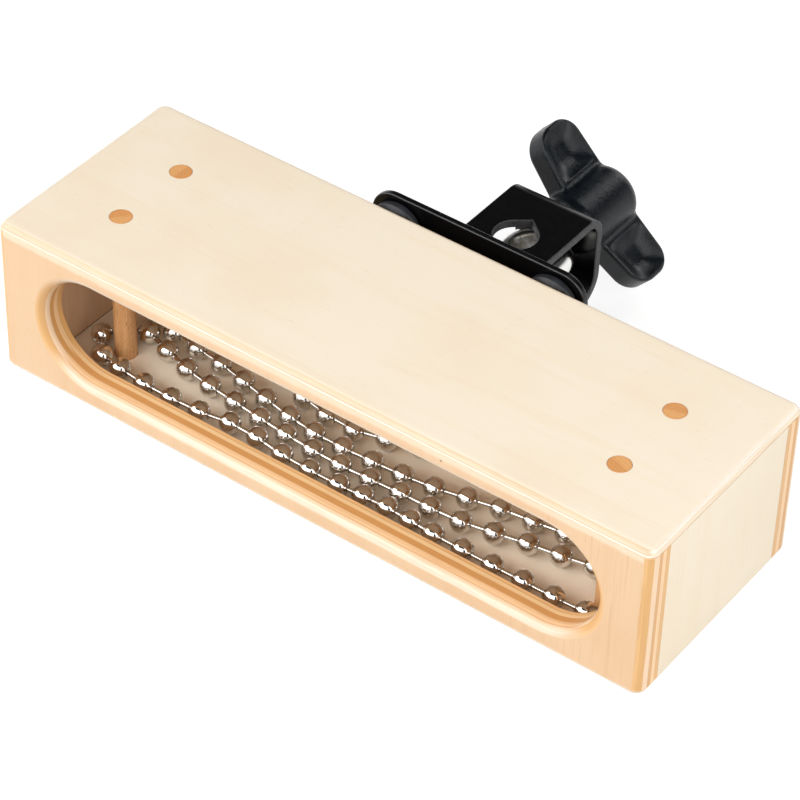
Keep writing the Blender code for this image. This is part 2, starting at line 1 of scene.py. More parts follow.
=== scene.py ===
"""Looks of the hand clap block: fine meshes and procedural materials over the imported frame.

Metres, +Z up, in the frame's own coordinates: +X along the box, the slot faces -Y, the clamp +Y.
"""

import json
from math import asin, cos, hypot, pi, radians, sin

import bmesh
import bpy
import numpy as np
from mathutils import Euler, Matrix, Vector


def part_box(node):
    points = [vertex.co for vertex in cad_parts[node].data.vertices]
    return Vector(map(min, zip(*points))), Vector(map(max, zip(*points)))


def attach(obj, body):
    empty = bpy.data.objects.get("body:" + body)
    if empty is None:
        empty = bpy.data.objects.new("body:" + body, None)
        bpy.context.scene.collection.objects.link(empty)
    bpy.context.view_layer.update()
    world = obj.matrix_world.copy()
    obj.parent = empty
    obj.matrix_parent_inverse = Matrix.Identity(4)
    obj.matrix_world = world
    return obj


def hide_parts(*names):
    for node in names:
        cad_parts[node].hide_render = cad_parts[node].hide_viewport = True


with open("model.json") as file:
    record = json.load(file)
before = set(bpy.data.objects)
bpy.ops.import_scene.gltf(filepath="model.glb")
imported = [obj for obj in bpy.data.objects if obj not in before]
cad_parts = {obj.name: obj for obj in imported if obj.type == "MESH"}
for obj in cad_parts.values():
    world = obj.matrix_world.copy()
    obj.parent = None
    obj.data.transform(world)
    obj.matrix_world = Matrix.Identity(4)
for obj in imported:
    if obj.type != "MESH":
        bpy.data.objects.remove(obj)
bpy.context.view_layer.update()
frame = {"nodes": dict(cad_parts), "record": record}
X, Y, Z = range(3)  # axes
QUARTER = pi / 2  # of a turn
QUADRANTS = ((1, 1), (-1, 1), (-1, -1), (1, -1))  # anticlockwise
MM_PER_METRE = 1000

# Camera, solved from the box's edges in the photograph, which is 800 pixels square
IMAGE_PIXELS = 800
FOCAL_PIXELS = 3331.3
CAMERA_AZIMUTH = radians(35.195)
CAMERA_ELEVATION = radians(41.101)
CAMERA_ROLL = radians(1.865)
CAMERA_DISTANCE = 1.1085
BOX_MIDDLE_PIXEL = (387.31, 383.13)

# Wooden box
EDGE_RADIUS = 0.0030
CORNER_RADIUS = 0.0040  # of the box's upright edges
ARRIS = 0.00006  # small chamfer along the glued joints
SLOT_END_MARGIN = 0.0190
SLOT_TOP_MARGIN = 0.0105
SLOT_BOTTOM_MARGIN = 0.0103
SLOT_LIP_RADIUS = 0.0040
PLAIN_STREAKS = 0.07  # strength of a veneer's dark streaks
FIGURED_STREAKS = 0.30
FIGURE_RANGE = (0.060, 0.112)  # where along the box they grow to that strength
# The pale band below the box's top is partly sanded veneer, partly a painted highlight of the rounded front
# edge.
SANDED_AND_HIGHLIGHT_REACH = 0.0050  # of the pale band below the box's top
SANDED_AND_HIGHLIGHT_RAGGED = 0.0012  # how uneven its edges are
COVER_EDGE = 0.0030  # where that band is palest
FLOOR_CORNER_SHADE_RANGE = (0.0026, 0.0033)  # height of the painted shade line round the inner floor
PIN_KNOT = (0.0530, -0.0442, 0.0575)
PIN_KNOT_FADE = (0.0001, 0.0007)  # distances from its middle
DOWEL_GAP = 0.0001
DOWEL_ARRIS = 0.00015
DOWEL_RIM_FADE = (0.0034, 0.0040)  # radii between which its end grows darker
DOWEL_TURN = 2.5  # radians, of the first dowel's grain
DOWEL_TURN_STEP = 1.9  # from each dowel to the next

# Chains
BALL_RADIUS = 0.0040
BALL_HOLE_RADIUS = 0.0011
BALL_LIP_DEPTH = 0.0003
LINK_RADIUS = 0.0009
LINK_INSET = 0.0005  # how far a link reaches into a ball

# Clamp
RUBBER_FOOT_RADIUS = 0.0075
RUBBER_ROUND = 0.0011
RUBBER_STEPS = (4, 6, 8)  # round its foot, and below and above on its rim
SCREW_RADIUS = 0.0025
SCREW_BORE_RADIUS = 0.0028
SCREW_HEAD_RADIUS = 0.00475
SCREW_HEAD_HEIGHT = 0.0036
SCREW_HEAD_ROUND = 0.00216
SCREW_END_CHAMFER = 0.0005
RECESS_LENGTH = 0.0052
RECESS_WIDTH = 0.0011
RECESS_DEPTH = 0.0016
RECESS_SHARES = (0.45, 1.25)  # of its length, at its floor and above the head
RECESS_TURN = 0.4  # radians
NUT_HALF_FLATS = 0.0040
NUT_CHAMFER = 0.0006
NUT_SIDES = 60
INNER_WASHER_EDGE = 0.00015
CLAMP_RING_EDGE = 0.0003
PLATE_CORNER_RADIUS = 0.0095
STEEL_EDGE = 0.0006  # rounding of the plate's and the strap's edges
STRAP_THICKNESS = 0.0033
STRAP_UPPER_BEND = 0.0080
STRAP_LOWER_BEND = 0.0115
ROD_HOLE_RADIUS = 0.0080
ROD_HOLE_DISTANCE = 0.0212  # plate to the hole's centre
ROD_HOLE_HALF_ANGLE = radians(52)
HOLE_EDGE = 0.0003

# Eye bolt and wing nut
EYE_INNER_RADIUS = 0.0079
EYE_OUTER_RADIUS = 0.0136
EYE_SQUARENESS = 2.6  # 2 would be a circle
EYE_HEIGHT = 0.0110
EYE_EDGE_ROUND = 0.0016
EYE_GRIME_FADE = (0.0006, 0.0024)  # distances outside the bore's radius
SHANK_RADIUS = 0.0040
SHANK_BORE_RADIUS = 0.0043
THREAD_PITCH = 0.00125
THREAD_DEPTH = 0.0006
THREAD_STEEPNESS = 1.15  # above 1 leaves a flat crest
THREAD_STEPS = 10  # in one pitch
SHANK_END_LENGTH = SHANK_RADIUS / 3  # of the chamfer at the shank's end
SHANK_END_DEPTH = SHANK_RADIUS / 4
NUT_TURN = radians(137.5)  # direction of the first blade, from +X towards +Z
HUB_RADIUS = 0.0122
HUB_BASE_RADIUS = 0.0095
HUB_BASE_HEIGHT = 0.0030
HUB_LENGTH = 0.0320
HUB_END_ROUND = 0.0055
HUB_EDGE_ROUND = 0.0012
INSERT_RADIUS = 0.0067
INSERT_LENGTH = 0.0152
BLADE_TIP_RADIUS = 0.0330
BLADE_NEAR_EDGE = 0.0056  # from the nut's base, where the edge's line meets the axis
BLADE_NEAR_SWEEP = 0.19  # away from the box, per length along the blade
BLADE_FAR_EDGE = 0.0302
BLADE_FAR_SWEEP = 0.035
BLADE_THICKNESS = 0.0095
BLADE_CORNER_RADIUS = 0.0078
BLADE_EDGE_ROUND = 0.0014
BLADE_FILLET = 0.0014  # where a blade runs into the hub
RIM_WIDTH = 0.0014  # round the dish in a blade's face
DISH_REACH = 0.0072  # from the dish's edge to its full depth
DISH_DEPTH = 0.0036
NUT_VOXEL = 0.00036
NUT_MARGIN = 0.0012  # round the nut, in the room where its surface is looked for

# Studio: azimuths are from the slot's side towards +X
LAMPS = (  # name, azimuth and elevation in degrees, distance, width and height, power
    ("front_left", -42, 33, 1.35, (1.60, 0.85), 16.2),
    ("front", 15, 36, 1.35, (1.15, 0.85), 6.7),
    ("right", 86, 32, 1.35, (1.05, 1.10), 11.6),
    ("behind", 176, 30, 1.30, (0.50, 0.50), 3.6),
)
HORIZON_FADE = (0.08, 0.42)  # heights on a unit sphere, from the white horizon to the dim sky
OVERHEAD_LEVEL = 0.06
FLAG_AZIMUTH = radians(53)
FLAG_HALF_WIDTH = radians(5)
FLAG_SOFT_EDGE = radians(1)
FLAG_LEVEL = 0.03
FRONT_SHARE = 0.42  # of the sky's light on matt surfaces that comes from the slot's side
FRONT_FADE = (-0.1, 0.5)  # places along Y on a unit sphere, from that share to all of it
FLOOR_REACH = 6
FLOOR_GREYS = (0.48, 0.52)  # where it only lights the part
FLOOR_ROUGHNESS = 0.9
FLOOR_SHADOW_GREY = 0.42  # where it is seen, with a glow
FLOOR_GLOWS = (0.76, 1.0)  # near the part, and far away
FLOOR_GLOW_FADE = (0.5, 1.5)  # distances from the part

# Fineness of round shapes
FINE_SIDES = 64
SMALL_SIDES = 40
BALL_SIDES = 28
BALL_RINGS = 18
EDGE_STEPS = 10
CORNER_STEPS = 8
SLOT_STEPS = 64
CUT_OVER = 0.0020
SMOOTH_ANGLE = radians(32)
LEAST_RADIUS = 1e-6  # of a corner that stays sharp
MERGE_DISTANCE = 1e-7
PACKED_MERGE_DISTANCE = 1e-6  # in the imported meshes
CROWN_TOLERANCE = 1e-5  # of the tops of a chain's balls
NET_ROUNDS = 4  # steps that bring a net's points to its surface
LEAST_STEEPNESS = 0.05
FACING_BACK = (-QUARTER, 0, 0)  # turns a shape's Z axis to +Y

# Places read from the frame
BOX_LOW = Vector((*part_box("front_panel")[0].xy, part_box("bottom_plate")[0].z))
BOX_HIGH = Vector((*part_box("back_panel")[1].xy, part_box("top_plate")[1].z))
BOX_MIDDLE = (BOX_LOW + BOX_HIGH) / 2
CLAMP_Z = sum(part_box("thrust_washer"), Vector()).z / 2
BODY_OF = {
    node: body for body, nodes in frame["record"]["behaviour"]["bodies"].items() for node in nodes
}
CORNERS = ("upper_left", "upper_right", "lower_left", "lower_right")


def srgb(red, green, blue):
    """A colour as seen, 0 to 255, as the linear values that a shader takes."""

    def linear(value):
        value /= 255
        return value / 12.92 if value <= 0.04045 else ((value + 0.055) / 1.055) ** 2.4

    return (linear(red), linear(green), linear(blue), 1)


def grey(level):
    return (level, level, level, 1)


class Nodes:
    """A node tree that is wired as its nodes are added."""

    def __init__(self, tree):
        self.tree = tree

    def feed(self, socket, value):
        if isinstance(value, bpy.types.NodeSocket):
            self.tree.links.new(value, socket)
        else:
            socket.default_value = value

    def add(self, kind, inputs=None, output=0, **settings):
        node = self.tree.nodes.new("ShaderNode" + kind)
        for name, value in settings.items():
            setattr(node, name, value)
        for name, value in (inputs or {}).items():
            self.feed(node.inputs[name], value)
        return node.outputs[output]

    def maths(self, operation, *values):
        return self.add("Math", dict(enumerate(values)), operation=operation)

    def times(self, first, second):
        return self.maths("MULTIPLY", first, second)

    def part(self, vector, axis):
        return self.add("SeparateXYZ", {0: vector}, output=axis)

    def between(self, value, low, high, start=0.0, end=1.0):
        """A smooth step from start to end as the value goes from low to high."""
        inputs = {"Value": value, "From Min": low, "From Max": high, "To Min": start, "To Max": end}
        return self.add("MapRange", inputs, interpolation_type="SMOOTHSTEP")

    def mix(self, factor, first, second):
        return self.add("Mix", {0: factor, 6: first, 7: second}, 2, data_type="RGBA")


class Shader(Nodes):
    """A material's nodes, with the place and the normal on the object at hand."""

    def __init__(self, name):
        self.material = bpy.data.materials.new(name)
        self.material.use_nodes = True
        super().__init__(self.material.node_tree)
        self.surface = self.tree.nodes["Principled BSDF"]
        self.place = self.add("TexCoord", output="Object")
        self.normal = self.add("TexCoord", output="Normal")

    def scaled(self, factors):
        """The place on the object, stretched by a factor along each axis."""
        return self.add("VectorMath", {0: self.place, 1: factors}, operation="MULTIPLY")

    def distance(self, factors=(1, 1, 1)):
        """How far the place is from the origin, along the axes whose factor is 1."""
        return self.add("VectorMath", {0: self.scaled(factors)}, "Value", operation="LENGTH")

    def noise(self, factors, detail=3.0, roughness=0.55, distortion=0.0):
        """Cloudy noise with this many features per metre, in all directions or along each axis."""
        if not isinstance(factors, tuple):
            factors = (factors,) * 3
        inputs = {"Vector": self.scaled(factors), "Scale": 1.0, "Detail": detail}
        inputs.update({"Roughness": roughness, "Distortion": distortion})
        return self.add("TexNoise", inputs)

    def ramp(self, factor, stops):
        node = self.tree.nodes.new("ShaderNodeValToRGB")
        self.feed(node.inputs[0], factor)
        elements = node.color_ramp.elements
        while len(elements) < len(stops):
            elements.new(1.0)
        for element, (position, colour) in zip(elements, stops):
            element.position = position
            element.color = colour
        return node.outputs[0]

    def bump(self, height, distance, below=None):
        inputs = {"Height": height, "Distance": distance}
        if below:
            inputs["Normal"] = below
        return self.add("Bump", inputs)

    def finish(self, colour, roughness, normal=None, plain=None):
        """Feeds the surface; plain holds what has one value all over."""
        sockets = {"Base Color": colour, "Roughness": roughness, **(plain or {})}
        if normal:
            sockets["Normal"] = normal
        for name, value in sockets.items():
            self.feed(self.surface.inputs[name], value)
        return self.material


def along(axis, across, lengthwise):
    """Features per metre across an axis and along it, for noise."""
    return tuple(lengthwise if i == axis else across for i in range(3))


# Materials


GLUE = (200, 140, 80)
PANEL_PLIES = (  # millimetres from the outer face, and the colour where the cut faces up or down
    (0.10, 248, 222, 188),
    (1.20, 248, 227, 203),
    (0.90, 244, 208, 170),
    (0.40, 228, 180, 132),
    (1.90, 254, 210, 160),
    (0.15, 232, 172, 108),
    (2.15, 228, 164, 98),
    (0.20, 244, 192, 130),
    (1.55, 255, 216, 162),
    (0.25, 224, 168, 104),
    (1.20, 250, 198, 138),
)
PANEL_END_PLIES = (  # the same plies where the cut faces left or right, across the other grain
    (0.08, 244, 202, 150),
    (0.45, 238, 190, 130),
    (1.32, 231, 180, 116),
    (0.12, 216, 160, 98),
    (1.98, 251, 219, 182),
    (0.12, *GLUE),
    (1.58, 227, 168, 98),
    (0.10, *GLUE),
    (2.08, 252, 211, 158),
    (0.12, *GLUE),
    (1.95, 235, 183, 114),
)
COVER_PLIES = (  # along the box
    (0.25, 240, 219, 188),
    (0.55, 235, 209, 174),
    (0.70, 232, 206, 175),
    (0.12, 204, 160, 114),
    # near-white ply: pale wood with the rounded front edge's highlight painted in
    (0.62, 255, 243, 224),
    (0.16, 214, 172, 128),
)
COVER_END_PLIES = (  # across the box
    # pale plies: pale wood with the highlight along the box's top end edges painted in
    (0.25, 253, 240, 220),
    (0.75, 254, 244, 228),
    (1.24, 248, 230, 204),
    (0.16, 206, 162, 114),
)
# colour of that pale band: sanded veneer with a painted highlight
SANDED_AND_HIGHLIGHT = srgb(254, 238, 214)
PLY_SOFTNESS = 0.03  # millimetres, on each side of a joint between plies
WOBBLE = 0.20  # millimetres, of the plies' joints


def ply_stops(plies):
    """Colour stops across a stack of plies."""
    total = sum(ply[0] for ply in plies)
    stops = []
    depth = 0
    for thickness, *colour in plies:
        stops.append(((depth + PLY_SOFTNESS) / total, srgb(*colour)))
        depth += thickness
        stops.append(((depth - PLY_SOFTNESS) / total, srgb(*colour)))
    return stops


def veneer(sh, grain_axis, face, shade, mark, streak_strength):
    """Pale birch: soft clouds, faint figure along the grain, a few darker streaks and short flecks."""
    clouds = sh.noise(21, 3.0, 0.5)
    figure = sh.noise(along(grain_axis, 150, 9), 4.0, 0.55, 0.6)
    streaks = sh.noise(along(grain_axis, 1500, 30), 3.0, 0.6, 0.1)
    flecks = sh.noise(along(grain_axis, 1900, 210), 2.0, 0.5)
    colour = sh.mix(sh.between(clouds, 0.34, 0.68, 0.0, 0.7), face, shade)
    colour = sh.mix(sh.between(figure, 0.46, 0.74, 0.0, 0.5), colour, shade)
    streak = sh.times(sh.between(streaks, 0.54, 0.70), streak_strength)
    colour = sh.mix(streak, colour, mark)
    colour = sh.mix(sh.between(flecks, 0.67, 0.78, 0.0, 0.45), colour, mark)
    return colour, figure, flecks


def front_marks(sh, colour):
    """The front veneer's pale band under the top edge, partly sanded wood and partly a painted highlight,
    and its pin knot.
    """
    ragged = sh.noise((160, 160, 40), 3.0)
    height = sh.maths("MULTIPLY_ADD", ragged, SANDED_AND_HIGHLIGHT_RAGGED, sh.part(sh.place, Z))
    # painted highlight, over sanded wood, along the front's top edge
    sanded_and_highlight = sh.between(height, BOX_HIGH.z - SANDED_AND_HIGHLIGHT_REACH, BOX_HIGH.z - COVER_EDGE, 0.0, 0.6)
    colour = sh.mix(sanded_and_highlight, colour, SANDED_AND_HIGHLIGHT)
    reach = sh.add("VectorMath", {0: sh.place, 1: PIN_KNOT}, "Value", operation="DISTANCE")
    return sh.mix(sh.between(reach, *PIN_KNOT_FADE, 0.8, 0.0), colour, srgb(132, 84, 46))


def plywood(
    name, stack_axis, outer, inward, cut_axis, plies, end_plies, grain_axis, inner, tones, front=False
):
    """Veneer on both faces, and the plies wherever the board is cut or rounded deeper than that.

    The plies show one set of colours where the cut faces the cut axis, another where it faces X.
    """
    sh = Shader(name)
    total = sum(ply[0] for ply in plies)
    uneven = WOBBLE / total
    wobble = sh.maths("MULTIPLY_ADD", sh.noise(70, 4.0, 0.6), uneven, -uneven / 2)
    depth = sh.maths("SUBTRACT", sh.part(sh.place, stack_axis), outer)
    share = sh.maths("MULTIPLY_ADD", depth, inward * MM_PER_METRE / total, wobble)
    cut = sh.ramp(share, ply_stops(plies))
    facing = [sh.maths("ABSOLUTE", sh.part(sh.normal, axis)) for axis in (X, Y, Z)]
    if stack_axis != X:
        at_end = sh.between(sh.maths("SUBTRACT", facing[X], facing[cut_axis]), -0.4, 0.2)
        cut = sh.mix(at_end, cut, sh.ramp(share, ply_stops(end_plies)))
    fibre = sh.noise(along(stack_axis, 50, 2600), 4.0, 0.65)
    drift = sh.noise(24, 3.0, 0.6)
    pores = sh.noise(2600, 2.0, 0.6)
    dark = sh.times(sh.between(fibre, 0.40, 0.72), sh.between(drift, 0.3, 0.7, 0.06, 0.42))
    cut = sh.mix(dark, cut, srgb(*GLUE))
    cut = sh.mix(sh.between(pores, 0.62, 0.76, 0.0, 0.28), cut, srgb(*GLUE))

    streaks = PLAIN_STREAKS
    if front:
        streaks = sh.between(sh.part(sh.place, X), *FIGURE_RANGE, PLAIN_STREAKS, FIGURED_STREAKS)
    skin, figure, flecks = veneer(sh, grain_axis, *tones, streaks)
    if front:
        skin = front_marks(sh, skin)
    first = plies[0][0] / total
    colour = sh.mix(sh.between(share, first * 0.6, first * 1.4, 1.0, 0.0), cut, skin)
    lining = sh.mix(sh.between(figure, 0.4, 0.7, 0.0, 0.6), *inner)
    if stack_axis != Z:
        # painted shade at the foot of the inner walls, where they meet the floor
        corner_shade = sh.between(sh.part(sh.place, Z), *FLOOR_CORNER_SHADE_RANGE, 0.8, 0.0)
        lining = sh.mix(corner_shade, lining, srgb(104, 70, 44))
    inside = sh.times(sh.between(share, 0.90, 0.94), sh.between(facing[stack_axis], 0.6, 0.8))
    colour = sh.mix(inside, colour, lining)
    roughness = sh.between(figure, 0.2, 0.8, 0.32, 0.44)
    relief = sh.bump(flecks, 0.00003, sh.bump(figure, 0.00006))
    return sh.finish(colour, roughness, relief, {"Coat Weight": 0.15, "Coat Roughness": 0.2})


def dowel_wood():
    """Hardwood rod: long grain and short dark flecks down its side, growth rings across its end."""
    sh = Shader("dowel")
    long_grain = sh.noise((1500, 1500, 45), 4.0, 0.6, 0.3)
    side = sh.mix(sh.between(long_grain, 0.35, 0.7), srgb(234, 180, 124), srgb(216, 156, 100))
    flecks = sh.noise((3400, 3400, 420), 2.0, 0.5)
    side = sh.mix(sh.between(flecks, 0.60, 0.70, 0.0, 0.7), side, srgb(150, 96, 54))
    across = sh.part(sh.place, X)
    rings = sh.maths("SINE", sh.maths("MULTIPLY_ADD", across, 5200, sh.times(long_grain, 9)))
    halves = sh.between(across, -0.00025, 0.00015)
    end = sh.mix(halves, srgb(232, 172, 108), srgb(222, 156, 92))
    end = sh.mix(sh.between(rings, 0.2, 1.0, 0.0, 0.45), end, srgb(202, 134, 74))
    rim = sh.distance((1, 1, 0))
    end = sh.mix(sh.between(rim, *DOWEL_RIM_FADE, 0.0, 0.5), end, srgb(186, 118, 62))
    facing = sh.maths("ABSOLUTE", sh.part(sh.normal, Z))
    colour = sh.mix(sh.between(facing, 0.6, 0.9), side, end)
    return sh.finish(colour, sh.between(long_grain, 0.2, 0.8, 0.45, 0.6), sh.bump(long_grain, 0.00006))


def nickel(name, roughness):
    """Bright plated steel with fine handling marks."""
    sh = Shader(name)
    marks = sh.noise(700, 5.0, 0.7, 1.5)
    haze = sh.noise(90, 3.0)
    tint = sh.mix(sh.between(haze, 0.3, 0.7), srgb(228, 226, 222), srgb(213, 210, 205))
    wear_and_sheen = sh.between(marks, 0.4, 0.8, roughness, 2 * roughness)
    return sh.finish(tint, wear_and_sheen, sh.bump(marks, 0.0000012), {"Metallic": 1.0})


def cast_silver():
    """Plated casting: rough and grimy in the eye's bore, polished outside."""
    sh = Shader("cast_silver")
    lumps = sh.noise(420, 6.0, 0.65, 0.6)
    grime = sh.noise(230, 4.0, 0.6)
    fade = [EYE_INNER_RADIUS + reach for reach in EYE_GRIME_FADE]
    rough = sh.between(sh.distance((1, 1, 0)), *fade, 1.0, 0.0)
    dirt = sh.times(rough, sh.between(grime, 0.30, 0.65))
    tint = sh.mix(dirt, srgb(232, 231, 228), srgb(150, 142, 130))
    relief = sh.times(lumps, rough)
    roughness = sh.maths("MULTIPLY_ADD", relief, 0.50, 0.16)
    return sh.finish(tint, roughness, sh.bump(relief, 0.0004), {"Metallic": 1.0})


def black_steel(name, edge_axis, wear_and_sheen_tilts, edge_roughness):
    """Gloss black paint with a slight orange peel.

    It turns grey, as worn paint and a painted highlight, where the normal's part along the edge axis lies
    between two tilts.
    """
    sh = Shader(name)
    peel = sh.noise(420, 2.0, 0.5)
    specks = sh.noise(2600, 2.0, 0.6)
    tilt = sh.maths("ABSOLUTE", sh.part(sh.normal, edge_axis))
    low, high = wear_and_sheen_tilts
    edge = sh.times(sh.between(tilt, low, low + 0.2), sh.between(tilt, high, high + 0.1, 1.0, 0.0))
    # grey on the edges: partly worn paint, partly a painted highlight
    wear_and_sheen = sh.times(edge, sh.between(specks, 0.35, 0.62, 0.3, 1.0))
    colour = sh.mix(wear_and_sheen, srgb(7, 7, 8), srgb(66, 66, 68))
    gloss = sh.between(peel, 0.3, 0.8, 0.18, 0.26)
    roughness = sh.maths("MULTIPLY_ADD", edge, edge_roughness, gloss)
    return sh.finish(colour, roughness, sh.bump(peel, 0.000012), {"Specular IOR Level": 0.35})


def rubber():
    """Soft black rubber with a grey bloom."""
    sh = Shader("rubber")
    bloom = sh.noise(260, 4.0, 0.6)
    grit = sh.noise(3000, 2.0)
    colour = sh.mix(sh.between(bloom, 0.35, 0.75), srgb(28, 29, 33), srgb(40, 42, 47))
    return sh.finish(colour, sh.between(bloom, 0.3, 0.8, 0.42, 0.58), sh.bump(grit, 0.00003))


def zinc():
    """Zinc-plated turned steel."""
    sh = Shader("zinc")
    spangle = sh.noise(850, 4.0, 0.6)
    lathe = sh.noise(5200, 2.0, 0.5)
    colour = sh.mix(spangle, srgb(206, 206, 202), srgb(176, 178, 180))
    roughness = sh.between(spangle, 0.3, 0.8, 0.22, 0.38)
    return sh.finish(colour, roughness, sh.bump(lathe, 0.00001), {"Metallic": 1.0})


def plastic():
    """Moulded blue-black plastic with a fine eroded texture and patches rubbed smoother."""
    sh = Shader("plastic")
    texture = sh.noise(1700, 3.0, 0.6)
    patches = sh.noise(150, 4.0, 0.6)
    colour = sh.mix(sh.between(patches, 0.35, 0.7), srgb(8, 13, 18), srgb(12, 19, 25))
    roughness = sh.between(patches, 0.3, 0.75, 0.24, 0.35)
    return sh.finish(colour, roughness, sh.bump(texture, 0.00013), {"Specular IOR Level": 0.28})


# Mesh tools


def add_rings(bm, rings, closed=False):
    """Skins rings of equally many points; a path that isn't closed ends in flat caps."""
    loops = [[bm.verts.new(point) for point in ring] for ring in rings]
    pairs = list(zip(loops, loops[1:]))
    if closed:
        pairs.append((loops[-1], loops[0]))
    else:
        bm.faces.new(loops[0])
        bm.faces.new(loops[-1])
    for low, high in pairs:
        for i in range(len(low)):
            j = (i + 1) % len(low)
            bm.faces.new((low[i], low[j], high[j], high[i]))


def to_mesh(bm):
    bmesh.ops.remove_doubles(bm, verts=bm.verts, dist=MERGE_DISTANCE)
    bmesh.ops.recalc_face_normals(bm, faces=bm.faces)
    mesh = bpy.data.meshes.new("mesh")
    bm.to_mesh(mesh)
    bm.free()
    return mesh


def loft(rings, closed=False):
    bm = bmesh.new()
    add_rings(bm, rings, closed)
    return to_mesh(bm)


def arc(centre, radius, start, end, steps):
    """Points of an arc in a plane, both ends included."""
    angles = [start + (end - start) * i / steps for i in range(steps + 1)]
    return [(centre[0] + radius * cos(a), centre[1] + radius * sin(a)) for a in angles]


def rounded_edge(radius, steps):
    """(depth below a face, distance from the side) of points round a convex edge, from the face on."""
    return arc((radius, radius), radius, pi, 3 * QUARTER, steps)


def full_turn(sides):
    """Angles all the way round, equally far apart."""
    return [2 * pi * i / sides for i in range(sides)]


def turned(profile, closed=False, sides=FINE_SIDES):
    """A shape turned about Z through (radius, height) points."""
    turns = full_turn(sides)
    rings = [[Vector((r * cos(t), r * sin(t), z)) for t in turns] for r, z in profile]
    return loft(rings, closed)


def chamfered(radius, length, edge):
    """(radius, height) points up the side of a cylinder with chamfered ends."""
    return [(radius - edge, 0), (radius, edge), (radius, length - edge), (radius - edge, length)]


def washer_mesh(size, bore=SCREW_BORE_RADIUS, edge=INNER_WASHER_EDGE, sides=SMALL_SIDES):
    """A washer as wide as its box's X side and as thick as its Y side."""
    profile = [(bore, 0), *chamfered(size.x / 2, size.y, edge), (bore, size.y)]
    return turned(profile, closed=True, sides=sides)


def rounded_rectangle(low, high, radii, inset):
    """Anticlockwise outline inset from two corners; radii are for the corners from (high, high) on."""
    points = []
    for quarter, (way, radius) in enumerate(zip(QUADRANTS, radii)):
        radius = max(radius - inset, LEAST_RADIUS)
        centre = [(high if way[i] > 0 else low)[i] - way[i] * (inset + radius) for i in range(2)]
        start = quarter * QUARTER
        points += arc(centre, radius, start, start + QUARTER, CORNER_STEPS)
    return points


def stacked(low, high, radii, levels):
    """Rounded rectangles between two corners, one at each (inset, height) level, skinned."""
    rings = []
    for inset, z in levels:
        outline = rounded_rectangle(low, high, radii, inset)
        rings.append([Vector((x, y, z)) for x, y in outline])
    return loft(rings)


def add_object(name, data, location=(0, 0, 0), rotation=(0, 0, 0)):
    data.name = name
    thing = bpy.data.objects.new(name, data)
    bpy.context.scene.collection.objects.link(thing)
    thing.location = location
    thing.rotation_euler = rotation
    bpy.context.view_layer.update()
    return thing


def carve(piece, cutter):
    """Cuts another object out of a piece, and removes that object."""
    modifier = piece.modifiers.new("carve", "BOOLEAN")
    modifier.object = cutter
    modifier.operation = "DIFFERENCE"
    solid = piece.evaluated_get(bpy.context.evaluated_depsgraph_get())
    mesh = bpy.data.meshes.new_from_object(solid)
    piece.modifiers.clear()
    piece.data = mesh
    bpy.data.objects.remove(cutter)


def drill(piece, radius, place, length, rotation=(0, 0, 0), sides=SMALL_SIDES):
    """Cuts a round hole of this length, from a place along the turned Z axis."""
    plug = turned([(radius, -CUT_OVER), (radius, length + CUT_OVER)], sides=sides)
    carve(piece, add_object("hole", plug, place, rotation))


def drill_for_screws(piece, node):
    """Cuts the four screws' holes through a piece that stands for a node."""
    low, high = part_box(node)
    for corner in CORNERS:
        x, _, z = sum(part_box(f"bracket_screw_{corner}"), Vector()) / 2
        drill(piece, SCREW_BORE_RADIUS, (x, low.y, z), high.y - low.y, FACING_BACK)


def dress(piece, node, material, crisp=True, flat=True):
    """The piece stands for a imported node, on its body and in its material slot.

    It is shaded smooth, with crisp edges and with large faces that stay flat unless told otherwise.
    """
    piece.data.shade_smooth()
    if crisp:
        piece.data.set_sharp_from_angle(angle=SMOOTH_ANGLE)
    if flat:
        modifier = piece.modifiers.new("flat_faces", "WEIGHTED_NORMAL")
        modifier.keep_sharp = True
    piece.data.materials.clear()
    piece.data.materials.append(material)
    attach(piece, BODY_OF[node])
    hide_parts(node)


def surface_net(distance, low, high, step):
    """A quad mesh of the surface where a distance function of places is zero."""
    axes = [np.arange(a, b + step, step) for a, b in zip(low, high)]
    grid = np.stack(np.meshgrid(*axes, indexing="ij"), axis=-1)
    inside = distance(grid) < 0
    filled = sum(
        inside[i : i - 1 or None, j : j - 1 or None, k : k - 1 or None].astype(np.int8)
        for i in (0, 1)
        for j in (0, 1)
        for k in (0, 1)
    )
    cells = np.argwhere((filled > 0) & (filled < 8))
    ids = np.full(filled.shape, -1)
    ids[tuple(cells.T)] = np.arange(len(cells))
    points = np.array(low) + (cells + 0.5) * step
    reach = step / 4
    for _ in range(NET_ROUNDS):
        slope = np.stack(
            [
                (distance(points + reach * unit) - distance(points - reach * unit)) / (2 * reach)
                for unit in np.eye(3)
            ],
            axis=-1,
        )
        steep = np.maximum((slope**2).sum(-1, keepdims=True), LEAST_STEEPNESS)
        points -= np.clip(distance(points)[:, None] * slope / steep, -step, step)
    faces = []
    for axis in range(3):
        order = (axis, (axis + 1) % 3, (axis + 2) % 3)
        solid = inside.transpose(order)
        cell = ids.transpose(order)
        first = solid[:-1, 1:-1, 1:-1]
        second = solid[1:, 1:-1, 1:-1]
        around = (cell[:, :-1, :-1], cell[:, 1:, :-1], cell[:, 1:, 1:], cell[:, :-1, 1:])
        quads = np.stack(around, axis=-1)
        faces.append(quads[first & ~second])
        faces.append(quads[second & ~first][:, ::-1])
    mesh = bpy.data.meshes.new("mesh")
    mesh.from_pydata(points.tolist(), [], np.concatenate(faces).tolist())
    mesh.update()
    return mesh


# Wooden box


